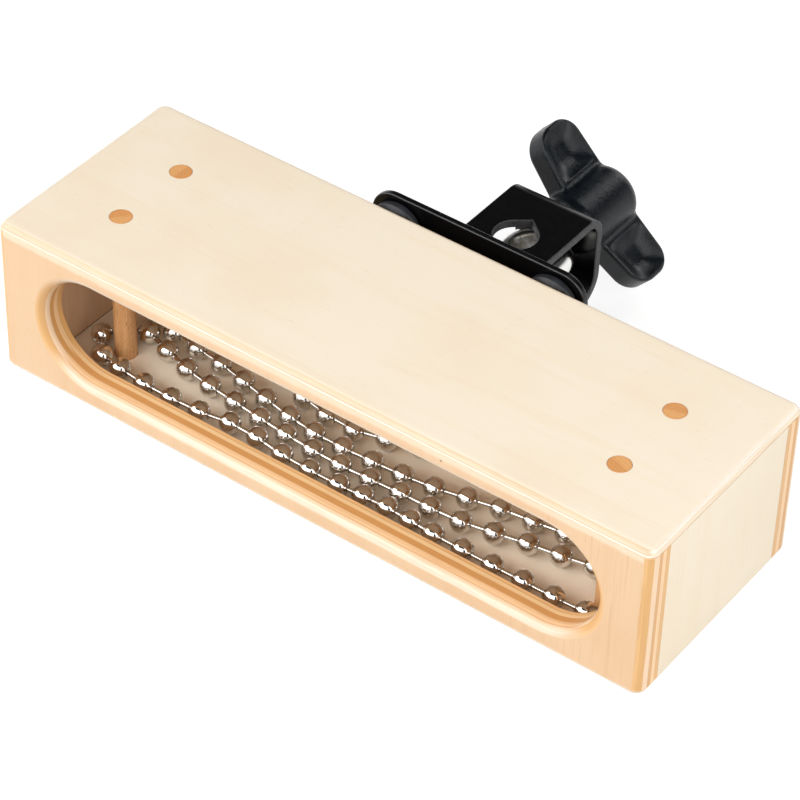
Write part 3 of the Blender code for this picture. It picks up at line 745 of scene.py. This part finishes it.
def cover_mesh(joint, outer):
    """A cover plate from its glued joint to its outer face, with the box's rounded edges."""
    side = 1 if outer > joint else -1
    centre = outer - side * EDGE_RADIUS
    start = asin(side * (joint - centre) / EDGE_RADIUS)
    curve = arc((0, 0), EDGE_RADIUS, start, QUARTER, EDGE_STEPS)
    levels = [(EDGE_RADIUS - reach, centre + side * rise) for reach, rise in curve]
    inset = levels[0][0]
    levels[0] = (inset, joint + side * ARRIS)
    levels.insert(0, (inset + ARRIS, joint))
    return stacked(BOX_LOW, BOX_HIGH, [CORNER_RADIUS] * 4, levels)


def panel_mesh(node, front, back):
    """An upright panel with corners of two radii and a small chamfer at its glued edges."""
    low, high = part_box(node)
    levels = ((ARRIS, low.z), (0, low.z + ARRIS), (0, high.z - ARRIS), (ARRIS, high.z))
    return stacked(low, high, (back, back, front, front), levels)


def end_panel_mesh(node):
    low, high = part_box(node)
    bm = bmesh.new()
    bmesh.ops.create_cube(bm, size=1)
    bmesh.ops.scale(bm, vec=high - low, verts=bm.verts)
    bmesh.ops.translate(bm, vec=(high + low) / 2, verts=bm.verts)
    bmesh.ops.bevel(bm, geom=bm.edges[:], offset=ARRIS, segments=2, profile=0.5, affect="EDGES")
    return to_mesh(bm)


def slot_cutter():
    """A long round-ended plug that flares at the front face to leave a rounded lip."""
    half_height = (BOX_HIGH.z - BOX_LOW.z - SLOT_TOP_MARGIN - SLOT_BOTTOM_MARGIN) / 2
    middle = BOX_LOW.z + SLOT_BOTTOM_MARGIN + half_height
    straight = (BOX_HIGH.x - BOX_LOW.x) / 2 - SLOT_END_MARGIN - half_height
    front, inner = (corner.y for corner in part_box("front_panel"))
    sections = [(front - CUT_OVER, SLOT_LIP_RADIUS)]
    sections += [(front + into, flare) for into, flare in rounded_edge(SLOT_LIP_RADIUS, EDGE_STEPS)]
    sections += [(inner - ARRIS, 0), (inner, ARRIS), (inner + CUT_OVER, ARRIS)]
    rings = []
    for y, flare in sections:
        radius = half_height + flare
        outline = arc((straight, middle), radius, -QUARTER, QUARTER, SLOT_STEPS)
        outline += arc((-straight, middle), radius, QUARTER, 3 * QUARTER, SLOT_STEPS)
        rings.append([Vector((x, y, z)) for x, z in outline])
    return add_object("slot_cutter", loft(rings))


TOP_TONES = (srgb(251, 237, 215), srgb(248, 229, 201), srgb(226, 194, 154))
PANEL_LINING = (srgb(240, 206, 170), srgb(228, 188, 148))
BOTTOM_TONES = (srgb(252, 238, 220), srgb(248, 228, 204), srgb(226, 200, 172))
COVER_LINING = (srgb(255, 241, 220), srgb(253, 230, 204))
FRONT_TONES = (srgb(238, 203, 163), srgb(233, 191, 147), srgb(206, 154, 102))
END_TONES = (srgb(248, 233, 208), srgb(244, 226, 196), srgb(220, 202, 170))


def make_dowel(node, turn, material, covers):
    """A dowel, and its holes through the covers."""
    low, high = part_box(node)
    radius = (high.x - low.x) / 2
    length = high.z - low.z
    place = ((low.x + high.x) / 2, (low.y + high.y) / 2, low.z)
    mesh = turned(chamfered(radius, length, DOWEL_ARRIS))
    dowel = add_object(f"{node}_wood", mesh, place, (0, 0, turn))
    dress(dowel, node, material)
    for cover in covers:
        drill(cover, radius + DOWEL_GAP, place, length, sides=FINE_SIDES)


def make_box():
    """Six plywood pieces and the four dowels."""
    top = add_object("top_plate_wood", cover_mesh(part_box("top_plate")[0].z, BOX_HIGH.z))
    bottom = add_object("bottom_plate_wood", cover_mesh(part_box("bottom_plate")[1].z, BOX_LOW.z))
    front = add_object("front_panel_wood", panel_mesh("front_panel", CORNER_RADIUS, 0))
    back = add_object("back_panel_wood", panel_mesh("back_panel", 0, CORNER_RADIUS))
    left = add_object("left_end_wood", end_panel_mesh("left_end_panel"))
    right = add_object("right_end_wood", end_panel_mesh("right_end_panel"))

    carve(front, slot_cutter())
    drill_for_screws(back, "back_panel")
    wood = dowel_wood()
    for i, place in enumerate(("front_left", "front_right", "rear_left", "rear_right")):
        make_dowel(f"dowel_{place}", DOWEL_TURN + i * DOWEL_TURN_STEP, wood, (top, bottom))

    covers = (Y, COVER_PLIES, COVER_END_PLIES, X, COVER_LINING)
    panels = (Z, PANEL_PLIES, PANEL_END_PLIES, Z, PANEL_LINING)
    looks = (
        (top, "top_plate", Z, BOX_HIGH.z, -1, *covers, TOP_TONES),
        (bottom, "bottom_plate", Z, BOX_LOW.z, 1, *covers, BOTTOM_TONES),
        (front, "front_panel", Y, BOX_LOW.y, 1, *panels, FRONT_TONES, True),
        (back, "back_panel", Y, BOX_HIGH.y, -1, *panels, FRONT_TONES),
        (left, "left_end_panel", X, BOX_LOW.x, 1, *panels, END_TONES),
        (right, "right_end_panel", X, BOX_HIGH.x, -1, *panels, END_TONES),
    )
    for piece, node, *look in looks:
        dress(piece, node, plywood(f"{node}_plywood", *look))


# Chains


def chain_balls(node):
    """Ball centres in their order along a chain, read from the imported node's mesh."""
    bm = bmesh.new()
    bm.from_mesh(frame["nodes"][node].data)
    bmesh.ops.remove_doubles(bm, verts=bm.verts, dist=PACKED_MERGE_DISTANCE)
    bm.verts.index_update()
    places = np.array([vertex.co for vertex in bm.verts])
    crowns = places[places[:, Z] > places[:, Z].max() - CROWN_TOLERANCE]
    centres = crowns - np.array((0, 0, BALL_RADIUS))
    gaps = np.linalg.norm(places[:, None] - centres[None], axis=-1)
    owner = gaps.argmin(axis=1)
    beside = {ball: set() for ball in range(len(centres))}
    for edge in bm.edges:
        first, second = (int(owner[vertex.index]) for vertex in edge.verts)
        if first != second:
            beside[first].add(second)
            beside[second].add(first)
    bm.free()
    order = [0]
    while len(order) < len(centres):
        order.append(min(ball for ball in beside[order[-1]] if ball not in order[-2:-1]))
    return [Vector(centres[ball]) for ball in order]


def ball_profile():
    """(along, radius) points of a hollow ball between the lips of its two holes."""
    neck = asin(BALL_HOLE_RADIUS / BALL_RADIUS)
    points = arc((0, 0), BALL_RADIUS, pi - neck, neck, BALL_RINGS)
    lip = (points[0][0] + BALL_LIP_DEPTH, BALL_HOLE_RADIUS - BALL_LIP_DEPTH / 2)
    return [lip] + points + [(-lip[0], lip[1])]


def add_spindle(bm, centre, direction, profile, sides):
    """A turned shape about a direction, through (along, radius) points."""
    across = direction.orthogonal().normalized()
    other = direction.cross(across)
    ways = [across * cos(t) + other * sin(t) for t in full_turn(sides)]
    add_rings(bm, [[centre + direction * reach + radius * way for way in ways] for reach, radius in profile])


def make_chain(node, ball_look, link_look):
    """Balls strung on straight links, in one closed loop."""
    balls = chain_balls(node)
    count = len(balls)
    bm = bmesh.new()
    profile = ball_profile()
    for i, centre in enumerate(balls):
        following = balls[(i + 1) % count]
        heading = (following - balls[i - 1]).normalized()
        add_spindle(bm, centre, heading, profile, BALL_SIDES)
        done = len(bm.faces)
        gap = following - centre
        reach = BALL_RADIUS - LINK_INSET
        link = [(reach, LINK_RADIUS), (gap.length - reach, LINK_RADIUS)]
        add_spindle(bm, centre, gap.normalized(), link, BALL_SIDES // 2)
        bm.faces.ensure_lookup_table()
        for face in bm.faces[done:]:
            face.material_index = 1
    chain = add_object(f"{node}_balls", to_mesh(bm))
    dress(chain, node, ball_look, flat=False)
    chain.data.materials.append(link_look)


# Clamp


def sheet_levels(low, high, steps):
    """(level, inset) pairs through a steel sheet from one face to the other, round at both edges."""
    curve = rounded_edge(STEEL_EDGE, steps)
    levels = [(low + into, inset) for into, inset in curve]
    return levels + [(high - into, inset) for into, inset in reversed(curve)]


def make_plate(material):
    low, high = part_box("mounting_plate")
    rings = []
    for y, inset in sheet_levels(low.y, high.y, EDGE_STEPS):
        outline = rounded_rectangle(low.xz, high.xz, [PLATE_CORNER_RADIUS] * 4, inset)
        rings.append([Vector((x, y, z)) for x, z in outline])
    plate = add_object("mounting_plate_steel", loft(rings))
    drill_for_screws(plate, "mounting_plate")
    dress(plate, "mounting_plate", material)


def strap_outline(low, high, inset):
    """The bent sheet seen from its side as (y, z) points: outer side, then inner side back."""
    start = low.y + inset
    upper = (high.y - STRAP_UPPER_BEND, high.z - STRAP_UPPER_BEND)
    lower = (high.y - STRAP_LOWER_BEND, low.z + STRAP_LOWER_BEND)
    outline = []
    for level, order in ((inset, 1), (STRAP_THICKNESS - inset, -1)):
        side = [(start, high.z - level)]
        side += arc(upper, STRAP_UPPER_BEND - level, QUARTER, 0, CORNER_STEPS * 2)
        side += arc(lower, STRAP_LOWER_BEND - level, 0, -QUARTER, CORNER_STEPS * 2)
        side.append((start, low.z + level))
        outline += side[::order]
    return outline


def rod_hole_ring(centre, z, flare):
    """A round hole that runs out into a V on the side away from the box."""
    radius = ROD_HOLE_RADIUS + flare
    outline = arc((0, 0), radius, pi - ROD_HOLE_HALF_ANGLE, 2 * pi + ROD_HOLE_HALF_ANGLE, FINE_SIDES)
    outline.append((0, radius / sin(ROD_HOLE_HALF_ANGLE)))
    return [Vector((x, centre + y, z)) for x, y in outline]


def make_strap(material):
    low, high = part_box("clamp_strap")
    rings = []
    for x, inset in sheet_levels(low.x, high.x, EDGE_STEPS // 2):
        rings.append([Vector((x, y, z)) for y, z in strap_outline(low, high, inset)])
    strap = add_object("clamp_strap_steel", loft(rings))

    levels = [(high.z + CUT_OVER, HOLE_EDGE)]
    for over in (high.z, low.z + STRAP_THICKNESS):
        under = over - STRAP_THICKNESS
        levels += [(over, HOLE_EDGE), (over - HOLE_EDGE, 0), (under + HOLE_EDGE, 0), (under, HOLE_EDGE)]
    levels.append((low.z - CUT_OVER, HOLE_EDGE))
    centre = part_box("mounting_plate")[1].y + ROD_HOLE_DISTANCE
    carve(strap, add_object("rod_hole", loft([rod_hole_ring(centre, *level) for level in levels])))
    inner = (0, high.y - STRAP_THICKNESS, CLAMP_Z)
    drill(strap, SHANK_BORE_RADIUS, inner, STRAP_THICKNESS, FACING_BACK)
    dress(strap, "clamp_strap", material)


def rubber_mesh(size):
    """A dished washer: narrow foot on the wood, and a wide rim with a soft edge under the plate."""
    foot_steps, lower_steps, upper_steps = RUBBER_STEPS
    foot = RUBBER_ROUND / 2
    rim = size.x / 2 - RUBBER_ROUND
    profile = [(SCREW_BORE_RADIUS, 0), (RUBBER_FOOT_RADIUS - foot, 0)]
    profile += arc((RUBBER_FOOT_RADIUS - foot, foot), foot, -QUARTER, -QUARTER / 2, foot_steps)
    profile += arc((rim, size.y - 2 * RUBBER_ROUND), RUBBER_ROUND, -QUARTER / 2, 0, lower_steps)
    profile += arc((rim, size.y - RUBBER_ROUND), RUBBER_ROUND, 0, QUARTER, upper_steps)
    profile.append((SCREW_BORE_RADIUS, size.y))
    return turned(profile, closed=True)


def screw_mesh(length):
    """A pan-head screw, its head's underside at height 0 and its shank below."""
    profile = [
        (SCREW_RADIUS - SCREW_END_CHAMFER, -length),
        (SCREW_RADIUS, SCREW_END_CHAMFER - length),
        (SCREW_RADIUS, 0),
        (SCREW_HEAD_RADIUS, 0),
    ]
    centre = (SCREW_HEAD_RADIUS - SCREW_HEAD_ROUND, SCREW_HEAD_HEIGHT - SCREW_HEAD_ROUND)
    profile += arc(centre, SCREW_HEAD_ROUND, 0, QUARTER, EDGE_STEPS)
    return turned(profile, sides=SMALL_SIDES)


def recess_cutter(location, turn):
    """One tapered slot of a screw's cross recess."""
    rings = []
    heights = (SCREW_HEAD_HEIGHT - RECESS_DEPTH, SCREW_HEAD_HEIGHT + CUT_OVER)
    half_width = RECESS_WIDTH / 2
    for height, share in zip(heights, RECESS_SHARES):
        half_length = RECESS_LENGTH / 2 * share
        rings.append([Vector((a * half_length, b * half_width, height)) for a, b in QUADRANTS])
    return add_object("screw_recess", loft(rings), location, (FACING_BACK[X], turn, 0))


def nut_mesh(size):
    """A hexagon nut with chamfered corners."""
    height = size.y
    sixth = pi / 3
    turns = full_turn(NUT_SIDES)
    hexagon = [NUT_HALF_FLATS / cos((turn + sixth / 2) % sixth - sixth / 2) for turn in turns]
    circle = [NUT_HALF_FLATS] * NUT_SIDES
    bore = [SCREW_BORE_RADIUS] * NUT_SIDES
    levels = [(0, circle), (NUT_CHAMFER, hexagon), (height - NUT_CHAMFER, hexagon), (height, circle)]
    rings = []
    for level, radii in levels + [(height, bore), (0, bore)]:
        rings.append([Vector((r * cos(t), r * sin(t), level)) for r, t in zip(radii, turns)])
    return loft(rings, closed=True)


def make_fixings(rubber_look, zinc_look):
    """At each corner: screw, rubber washer, and the washer and nut inside the box."""
    for corner in CORNERS:
        node = f"bracket_screw_{corner}"
        low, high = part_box(node)
        x, _, z = (low + high) / 2
        seat = (x, high.y - SCREW_HEAD_HEIGHT, z)
        screw = add_object(f"{node}_zinc", screw_mesh(seat[Y] - low.y), seat, FACING_BACK)
        for turn in (RECESS_TURN, RECESS_TURN + QUARTER):
            carve(screw, recess_cutter(seat, turn))
        dress(screw, node, zinc_look)

        for kind, ending, make_mesh, look in (
            ("rubber_washer", "soft", rubber_mesh, rubber_look),
            ("inner_washer", "zinc", washer_mesh, zinc_look),
            ("inner_nut", "zinc", nut_mesh, zinc_look),
        ):
            node = f"{kind}_{corner}"
            low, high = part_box(node)
            piece = add_object(f"{node}_{ending}", make_mesh(high - low), (x, low.y, z), FACING_BACK)
            dress(piece, node, look)


def eye_section():
    """(radius, height) points through the eye's wall: straight in the bore, bulging outside."""
    half = EYE_HEIGHT / 2
    inner = EYE_INNER_RADIUS + EYE_EDGE_ROUND
    bulge = EYE_OUTER_RADIUS - inner
    outside = arc((0, 0), 1, -QUARTER, QUARTER, 3 * CORNER_STEPS)
    section = [(inner + bulge * r, half * z) for r, z in outside]
    section += arc((inner, half - EYE_EDGE_ROUND), EYE_EDGE_ROUND, QUARTER, pi, CORNER_STEPS)
    section += arc((inner, EYE_EDGE_ROUND - half), EYE_EDGE_ROUND, pi, 3 * QUARTER, CORNER_STEPS)
    return section


def eye_rings():
    """The eye's sections all the way round, its outside stretched towards a square."""
    section = eye_section()
    wall = EYE_OUTER_RADIUS - EYE_INNER_RADIUS
    rings = []
    for turn in full_turn(2 * FINE_SIDES):
        heading = Vector((cos(turn), sin(turn), 0))
        sides = abs(heading.x) ** EYE_SQUARENESS + abs(heading.y) ** EYE_SQUARENESS
        stretch = (sides ** (-1 / EYE_SQUARENESS) - 1) * EYE_OUTER_RADIUS / wall
        reaches = [(r + stretch * (r - EYE_INNER_RADIUS), z) for r, z in section]
        rings.append([heading * reach + Vector((0, 0, z)) for reach, z in reaches])
    return rings


def shank_rings(start, end):
    """The threaded shank along Y, plain inside the eye."""
    steps = int((end - start) / THREAD_PITCH * THREAD_STEPS)
    rings = []
    for i in range(steps + 1):
        y = start + (end - start) * i / steps
        chamfer = SHANK_END_DEPTH * (1 - min(1.0, (end - y) / SHANK_END_LENGTH))
        ring = []
        for turn in full_turn(SMALL_SIDES):
            radius = SHANK_RADIUS - chamfer
            if y > EYE_OUTER_RADIUS:
                phase = (y / THREAD_PITCH - turn / (2 * pi)) % 1
                radius -= THREAD_DEPTH * (1 - min(1.0, abs(2 * phase - 1) * THREAD_STEEPNESS))
            ring.append(Vector((radius * cos(turn), y, radius * sin(turn))))
        rings.append(ring)
    return rings


def make_eye_bolt(material):
    """A ring round the rod's place, and a threaded shank out through the strap's wall."""
    low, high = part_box("eye_bolt")
    bm = bmesh.new()
    add_rings(bm, eye_rings(), closed=True)
    wall_middle = (EYE_INNER_RADIUS + EYE_OUTER_RADIUS) / 2
    add_rings(bm, shank_rings(wall_middle, high.y - low.y - EYE_OUTER_RADIUS))
    bolt = add_object("eye_bolt_silver", to_mesh(bm), (0, low.y + EYE_OUTER_RADIUS, CLAMP_Z))
    dress(bolt, "eye_bolt", material, flat=False)


def rounded_both(first, second, edge):
    """Where two fields are both inside, with the corner between them rounded."""
    a = first + edge
    b = second + edge
    return np.hypot(np.maximum(a, 0), np.maximum(b, 0)) + np.minimum(np.maximum(a, b), 0) - edge


def joined(first, second, fillet):
    """Where either field is inside, with a fillet in the corner between them."""
    a = np.maximum(fillet - first, 0)
    b = np.maximum(fillet - second, 0)
    return np.maximum(fillet, np.minimum(first, second)) - np.hypot(a, b)


def wing_nut_distance(place):
    """Signed distance to the wing nut: X along the blades, Y across them, Z along its axis."""
    x, y, z = np.abs(place[..., X]), np.abs(place[..., Y]), place[..., Z]
    radial = np.hypot(x, y)
    taper = (HUB_RADIUS - HUB_BASE_RADIUS) / HUB_BASE_HEIGHT
    cone = (radial - HUB_BASE_RADIUS - taper * z) / hypot(1, taper)
    hub = rounded_both(radial - HUB_RADIUS, z - HUB_LENGTH, HUB_END_ROUND)
    hub = rounded_both(rounded_both(hub, cone, HUB_EDGE_ROUND), -z, HUB_EDGE_ROUND)

    near = (BLADE_NEAR_EDGE + BLADE_NEAR_SWEEP * x - z) / hypot(1, BLADE_NEAR_SWEEP)
    far = (z - BLADE_FAR_EDGE - BLADE_FAR_SWEEP * x) / hypot(1, BLADE_FAR_SWEEP)
    tip = x - BLADE_TIP_RADIUS
    outline = np.maximum(
        rounded_both(near, tip, BLADE_CORNER_RADIUS), rounded_both(far, tip, BLADE_CORNER_RADIUS)
    )
    blade = rounded_both(outline, y - BLADE_THICKNESS / 2, BLADE_EDGE_ROUND)

    dish = DISH_DEPTH
    for side in (near, far, tip, HUB_RADIUS - x):
        sunk = np.clip((-side - RIM_WIDTH) / DISH_REACH, 0, 1)
        dish = dish * sunk * (2 - sunk)
    blade = np.maximum(blade, y - BLADE_THICKNESS / 2 + dish)

    nut = joined(hub, blade, BLADE_FILLET)
    insert = np.maximum(radial - INSERT_RADIUS, z - INSERT_LENGTH)
    bore = np.maximum(radial - SHANK_BORE_RADIUS, z - (HUB_LENGTH - HUB_END_ROUND))
    return np.maximum(nut, -np.minimum(insert, bore))


def make_wing_nut(plastic_look, zinc_look):
    """The plastic nut with its steel insert, and the washer under it."""
    reach = BLADE_TIP_RADIUS + NUT_MARGIN
    side = HUB_RADIUS + NUT_MARGIN
    high = (reach, side, HUB_LENGTH + NUT_MARGIN)
    mesh = surface_net(wing_nut_distance, (-reach, -side, -NUT_MARGIN), high, NUT_VOXEL)
    mesh.transform(Euler((FACING_BACK[X], -NUT_TURN, 0)).to_matrix().to_4x4())
    nut = add_object("wing_nut_plastic", mesh, (0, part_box("wing_nut_insert")[0].y, CLAMP_Z))
    dress(nut, "wing_nut", plastic_look, crisp=False, flat=False)

    for node in ("wing_nut_insert", "thrust_washer"):
        low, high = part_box(node)
        mesh = washer_mesh(high - low, SHANK_BORE_RADIUS, CLAMP_RING_EDGE, FINE_SIDES)
        ring = add_object(f"{node}_zinc", mesh, (0, low.y, CLAMP_Z), FACING_BACK)
        dress(ring, node, zinc_look)


# Stage


def towards(azimuth, elevation):
    """A unit vector at an azimuth from the slot's side towards +X."""
    level = cos(elevation)
    return Vector((sin(azimuth) * level, -cos(azimuth) * level, sin(elevation)))


def make_camera():
    """The photograph's view."""
    back = towards(CAMERA_AZIMUTH, CAMERA_ELEVATION)
    level = Vector((0, 0, 1)).cross(back).normalized()
    upright = back.cross(level)
    right = level * cos(CAMERA_ROLL) + upright * sin(CAMERA_ROLL)
    up = upright * cos(CAMERA_ROLL) - level * sin(CAMERA_ROLL)
    metres_per_pixel = CAMERA_DISTANCE / FOCAL_PIXELS
    aside = (BOX_MIDDLE_PIXEL[0] - IMAGE_PIXELS / 2) * metres_per_pixel
    above = (IMAGE_PIXELS / 2 - BOX_MIDDLE_PIXEL[1]) * metres_per_pixel
    eye = BOX_MIDDLE + back * CAMERA_DISTANCE - right * aside - up * above
    data = bpy.data.cameras.new("camera")
    data.lens = FOCAL_PIXELS / IMAGE_PIXELS * data.sensor_width
    turn = Matrix((right, up, back)).transposed().to_euler()
    bpy.context.scene.camera = add_object("camera", data, eye, turn)


def add_softbox(name, azimuth, elevation, distance, size, power):
    """A soft box aimed at the part."""
    away = towards(radians(azimuth), radians(elevation))
    data = bpy.data.lights.new(name, "AREA")
    data.shape = "RECTANGLE"
    data.size, data.size_y = size
    data.energy = power
    place = BOX_MIDDLE + away * distance
    lamp = add_object(name, data, place, away.to_track_quat("Z", "Y").to_euler())
    lamp.visible_camera = False


def make_world():
    """White to the eye; to all else a white horizon with one dark flag, and a dim sky overhead.

    On matt surfaces the horizon gives less light from the slot's side.
    """
    world = bpy.data.worlds.new("studio")
    world.use_nodes = True
    sky = Nodes(world.node_tree)
    east, north, height = (sky.part(sky.add("TexCoord"), axis) for axis in (X, Y, Z))
    level = sky.between(height, *HORIZON_FADE, 1.0, OVERHEAD_LEVEL)
    azimuth = sky.maths("ARCTAN2", east, sky.times(north, -1.0))
    aside = sky.maths("ABSOLUTE", sky.maths("SUBTRACT", azimuth, FLAG_AZIMUTH))
    flag = sky.between(aside, FLAG_HALF_WIDTH - FLAG_SOFT_EDGE, FLAG_HALF_WIDTH, FLAG_LEVEL, 1.0)
    share = sky.between(north, *FRONT_FADE, FRONT_SHARE, 1.0)
    dimming = sky.between(sky.add("LightPath", output="Is Diffuse Ray"), 0.0, 1.0, 1.0, share)
    level = sky.times(sky.times(level, flag), dimming)
    level = sky.maths("MAXIMUM", level, sky.add("LightPath", output="Is Camera Ray"))
    backdrop = world.node_tree.nodes["Background"]
    sky.feed(backdrop.inputs["Strength"], level)
    backdrop.inputs["Color"].default_value = grey(1)
    bpy.context.scene.world = world


def make_floor():
    """A white floor that glows where it is seen, most far away, so that only a soft shadow darkens it."""
    bm = bmesh.new()
    bmesh.ops.create_grid(bm, x_segments=1, y_segments=1, size=FLOOR_REACH)
    floor = add_object("floor", to_mesh(bm))
    sh = Shader("floor")
    sh.finish(sh.mix(sh.noise(6), *(grey(level) for level in FLOOR_GREYS)), FLOOR_ROUGHNESS)
    seen = sh.add("LightPath", output="Is Camera Ray")
    for ray in ("Is Glossy Ray", "Is Transmission Ray"):
        seen = sh.maths("MAXIMUM", seen, sh.add("LightPath", output=ray))
    strength = sh.between(sh.distance(), *FLOOR_GLOW_FADE, *FLOOR_GLOWS)
    glow = sh.add("Emission", {"Color": grey(1), "Strength": strength})
    matt = sh.add("BsdfDiffuse", {"Color": grey(FLOOR_SHADOW_GREY)})
    lit = sh.add("AddShader", {0: glow, 1: matt})
    surface = sh.add("MixShader", {0: seen, 1: sh.surface.outputs[0], 2: lit})
    sh.feed(sh.tree.nodes["Material Output"].inputs["Surface"], surface)
    floor.data.materials.append(sh.material)


def main():
    bpy.context.scene.view_settings.view_transform = "Standard"
    make_camera()
    make_world()
    for lamp in LAMPS:
        add_softbox(*lamp)
    make_floor()
    make_box()
    balls = nickel("nickel_balls", roughness=0.05)
    links = nickel("nickel_links", roughness=0.20)
    for node in ("front_chain", "rear_chain"):
        make_chain(node, balls, links)
    plated = zinc()
    make_plate(black_steel("plate_steel", Y, wear_and_sheen_tilts=(0.2, 0.87), edge_roughness=0.0))
    make_strap(black_steel("strap_steel", X, wear_and_sheen_tilts=(0.3, 1.0), edge_roughness=0.3))
    make_fixings(rubber(), plated)
    make_eye_bolt(cast_silver())
    make_wing_nut(plastic(), plated)


main()
